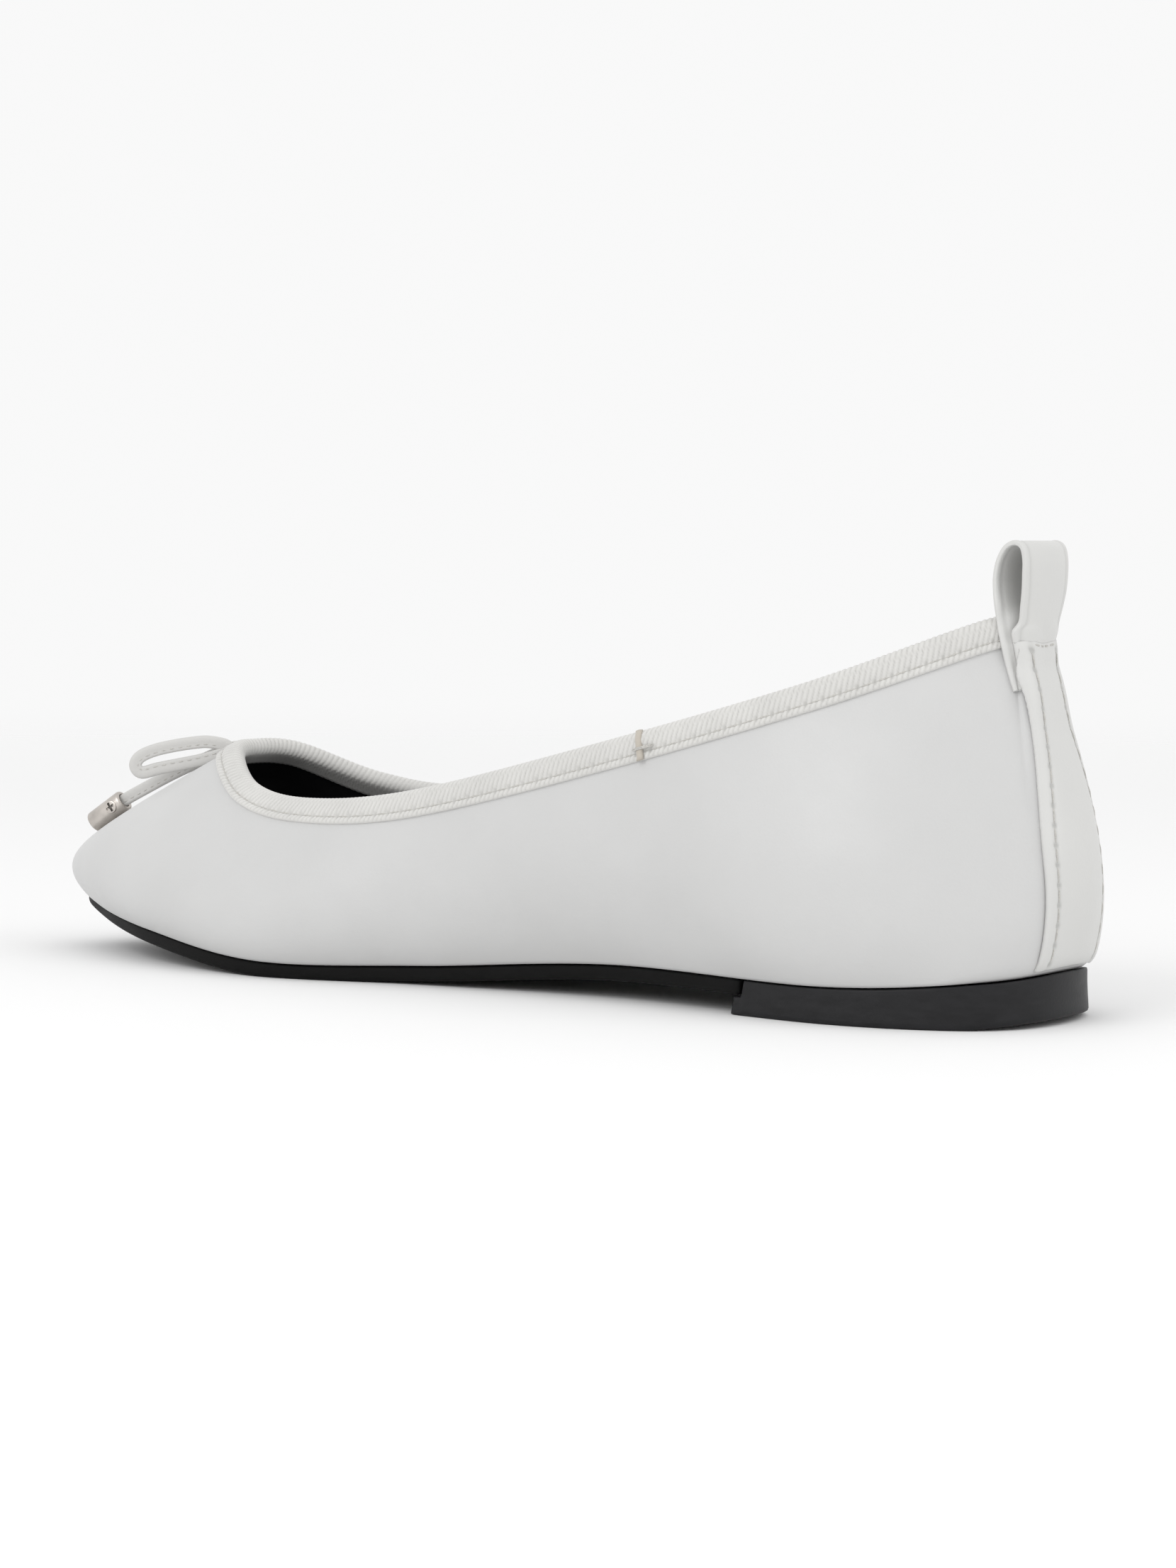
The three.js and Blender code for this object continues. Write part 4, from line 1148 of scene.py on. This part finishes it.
def add_aglet(side_name, body):
    mouth, end = strand_points(f"tail_{side_name}", fallen([TAIL_MOUTH, TAIL_ROUTE[-1]], side_name), 2)
    axis = unit(end - mouth)
    first = unit(np.cross(axis, (0, 0, 1.0)))
    second = np.cross(axis, first)
    angle = whole_turn(AGLET_SIDES)[:, None]
    spoke = np.cos(angle) * first + np.sin(angle) * second
    rings = np.array([mouth + axis * along + radius * spoke for radius, along in AGLET_PROFILE])
    cup = tube_piece(f"aglet_cup_{side_name}", rings, METAL, body)
    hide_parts(f"aglet_{side_name}")
    _, side = strand_axes(f"tail_{side_name}")
    facing = side if side_name == "medial" else -side
    screw = add_screw(side_name, mouth + axis * SCREW_PLACE, facing, axis, body)
    return cup, screw


def add_screw(side_name, centre, facing, axis, body):
    """A round screw head with a cross slot in its dome, on a short shank."""
    other = np.cross(facing, axis)
    angle = whole_turn(SCREW_SIDES)
    plain = [(0.6, 0.9), (0.6, 2.0), (SCREW_HEAD - 0.1, 2.0), (SCREW_HEAD, 2.1), (SCREW_HEAD, SCREW_RIM)]
    dome = []
    for share in np.linspace(0.97, 0.02, 22):
        dome.append((SCREW_HEAD * share, SCREW_RIM + SCREW_DOME * (1 - share**2) ** 0.5))
    rings, groove_shades = [], []
    for place, (radius, height) in enumerate(plain + dome):
        x, y = radius * np.cos(angle), radius * np.sin(angle)
        narrow, long = np.sort(np.abs([x, y]), axis=0)
        slot = (narrow < SLOT_HALF) & (long < SLOT_REACH) & (place >= len(plain))
        lift = height - SLOT_DEPTH * slot
        rings.append(centre + np.outer(lift, facing) + np.outer(x, axis) + np.outer(y, other))
        # painted shade in the cross slot
        groove_shades.append(slot.astype(float))
    piece = tube_piece(f"aglet_cross_screw_{side_name}", np.array(rings), METAL, body, smooth=False,
                       groove_shade=np.array(groove_shades))
    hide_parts(f"aglet_screw_{side_name}")
    return piece


def add_knot():
    """The knot: a soft core with one turn of the cord wrapped over its middle."""
    tilt = math.radians(KNOT_TILT)
    forward = np.array([math.cos(tilt), 0, -math.sin(tilt)])
    lift = np.array([math.sin(tilt), 0, math.cos(tilt)])
    across = np.array([0, 1.0, 0])
    angle = whole_turn(40)[:, None]
    rings = []
    for along in np.linspace(-1, 1, 25):
        radius = math.sqrt(max(0.0004, 1 - along**2)) * (1 + 0.05 * np.sin(5 * angle + 3 * along))
        ring = forward * np.cos(angle) * KNOT_REACH + lift * np.sin(angle) * KNOT_HEIGHT
        rings.append(KNOT_SEAT + across * along * 3.2 + ring * radius)
    core = tube_piece("bow_knot_core", np.array(rings), CORD, "shoe")
    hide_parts("bow_knot")
    turn = whole_turn(16)[:, None]
    wide = 1.3 * fuller(np.cos(turn), 0.6)
    thick = 0.42 * fuller(np.sin(turn), 0.6)
    sections = []
    for angle in whole_turn(64):
        out = forward * math.cos(angle) * 2.5 + lift * math.sin(angle)
        normal = unit(forward * math.cos(angle) + lift * math.sin(angle) * 2.5)
        sections.append(KNOT_SEAT + out + across * wide + normal * thick)
    wrap = tube_piece("bow_knot_wrap", np.array(sections), CORD, "shoe", closed=True)


# ---- CAD pieces that stay ----
def dress_cad_nodes():
    finishes = {
        "shank": STEEL, "bottom_filler": FILLER, "insole_board": BOARD, "footbed_foam": FOAM,
        "toe_puff": STIFFENER, "heel_counter": STIFFENER,
    }
    for name, material in finishes.items():
        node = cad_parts[name]
        for slot in node.material_slots:
            slot.material = material


# ---- Stage ----
LIGHT_SIZE = 0.9
LIGHT_AIM = Vector((0, 0, 0.03))


def fading_paper():
    """White paper that fades into the background with distance, so that no horizon shows."""
    material = new_material("floor_paper", (0.88, 0.88, 0.88), 0.9, Specular_IOR_Level=0.1)
    nodes, links, shader = tree_of(material)
    place = nodes.new("ShaderNodeTexCoord")
    distance = nodes.new("ShaderNodeVectorMath")
    distance.operation = "LENGTH"
    fade = nodes.new("ShaderNodeMapRange")
    fade.interpolation_type = "SMOOTHSTEP"
    fade.inputs["From Min"].default_value = 0.25
    fade.inputs["From Max"].default_value = 1.3
    fade.inputs["To Min"].default_value = 1.0
    fade.inputs["To Max"].default_value = 0.0
    links.new(place.outputs["Object"], distance.inputs[0])
    links.new(distance.outputs["Value"], fade.inputs["Value"])
    links.new(fade.outputs["Result"], shader["Alpha"])
    return material


def add_floor():
    half = 1.5
    mesh = bpy.data.meshes.new("floor")
    corners = [(-half, -half, 0), (half, -half, 0), (half, half, 0), (-half, half, 0)]
    mesh.from_pydata(corners, [], [(0, 1, 2, 3)])
    mesh.materials.append(fading_paper())
    floor = bpy.data.objects.new("floor", mesh)
    bpy.context.scene.collection.objects.link(floor)
    floor.location.z = -0.00005


def add_light(name, place, power):
    """A soft light at a place, aimed at the shoe."""
    data = bpy.data.lights.new(name, "AREA")
    data.size = LIGHT_SIZE
    data.energy = power
    light = bpy.data.objects.new(name, data)
    bpy.context.scene.collection.objects.link(light)
    light.location = place
    light.rotation_euler = (LIGHT_AIM - light.location).to_track_quat("-Z", "Y").to_euler()


def add_world():
    world = bpy.data.worlds.new("studio")
    world.use_nodes = True
    background = world.node_tree.nodes["Background"]
    background.inputs["Color"].default_value = (0.945, 0.945, 0.945, 1)
    background.inputs["Strength"].default_value = 1.0
    bpy.context.scene.world = world


add_camera()
for side_name in ("medial", "lateral"):
    add_bow_tail(side_name)
for side_name in ("medial", "lateral"):
    add_bow_loop(side_name)
add_knot()
add_upper()
add_binding()
add_binding_stitches()
add_binding_joint()
add_lining()
add_heel_grip()
add_insock()
add_outsole()
add_heel()
add_back_strap()
add_pull_loop()
dress_cad_nodes()
add_floor()
add_world()
add_light("key", (0.1, 1.15, 0.8), 5.0)
add_light("fill", (-1.1, -0.1, 0.6), 2.5)
bpy.context.scene.view_settings.view_transform = "Standard"
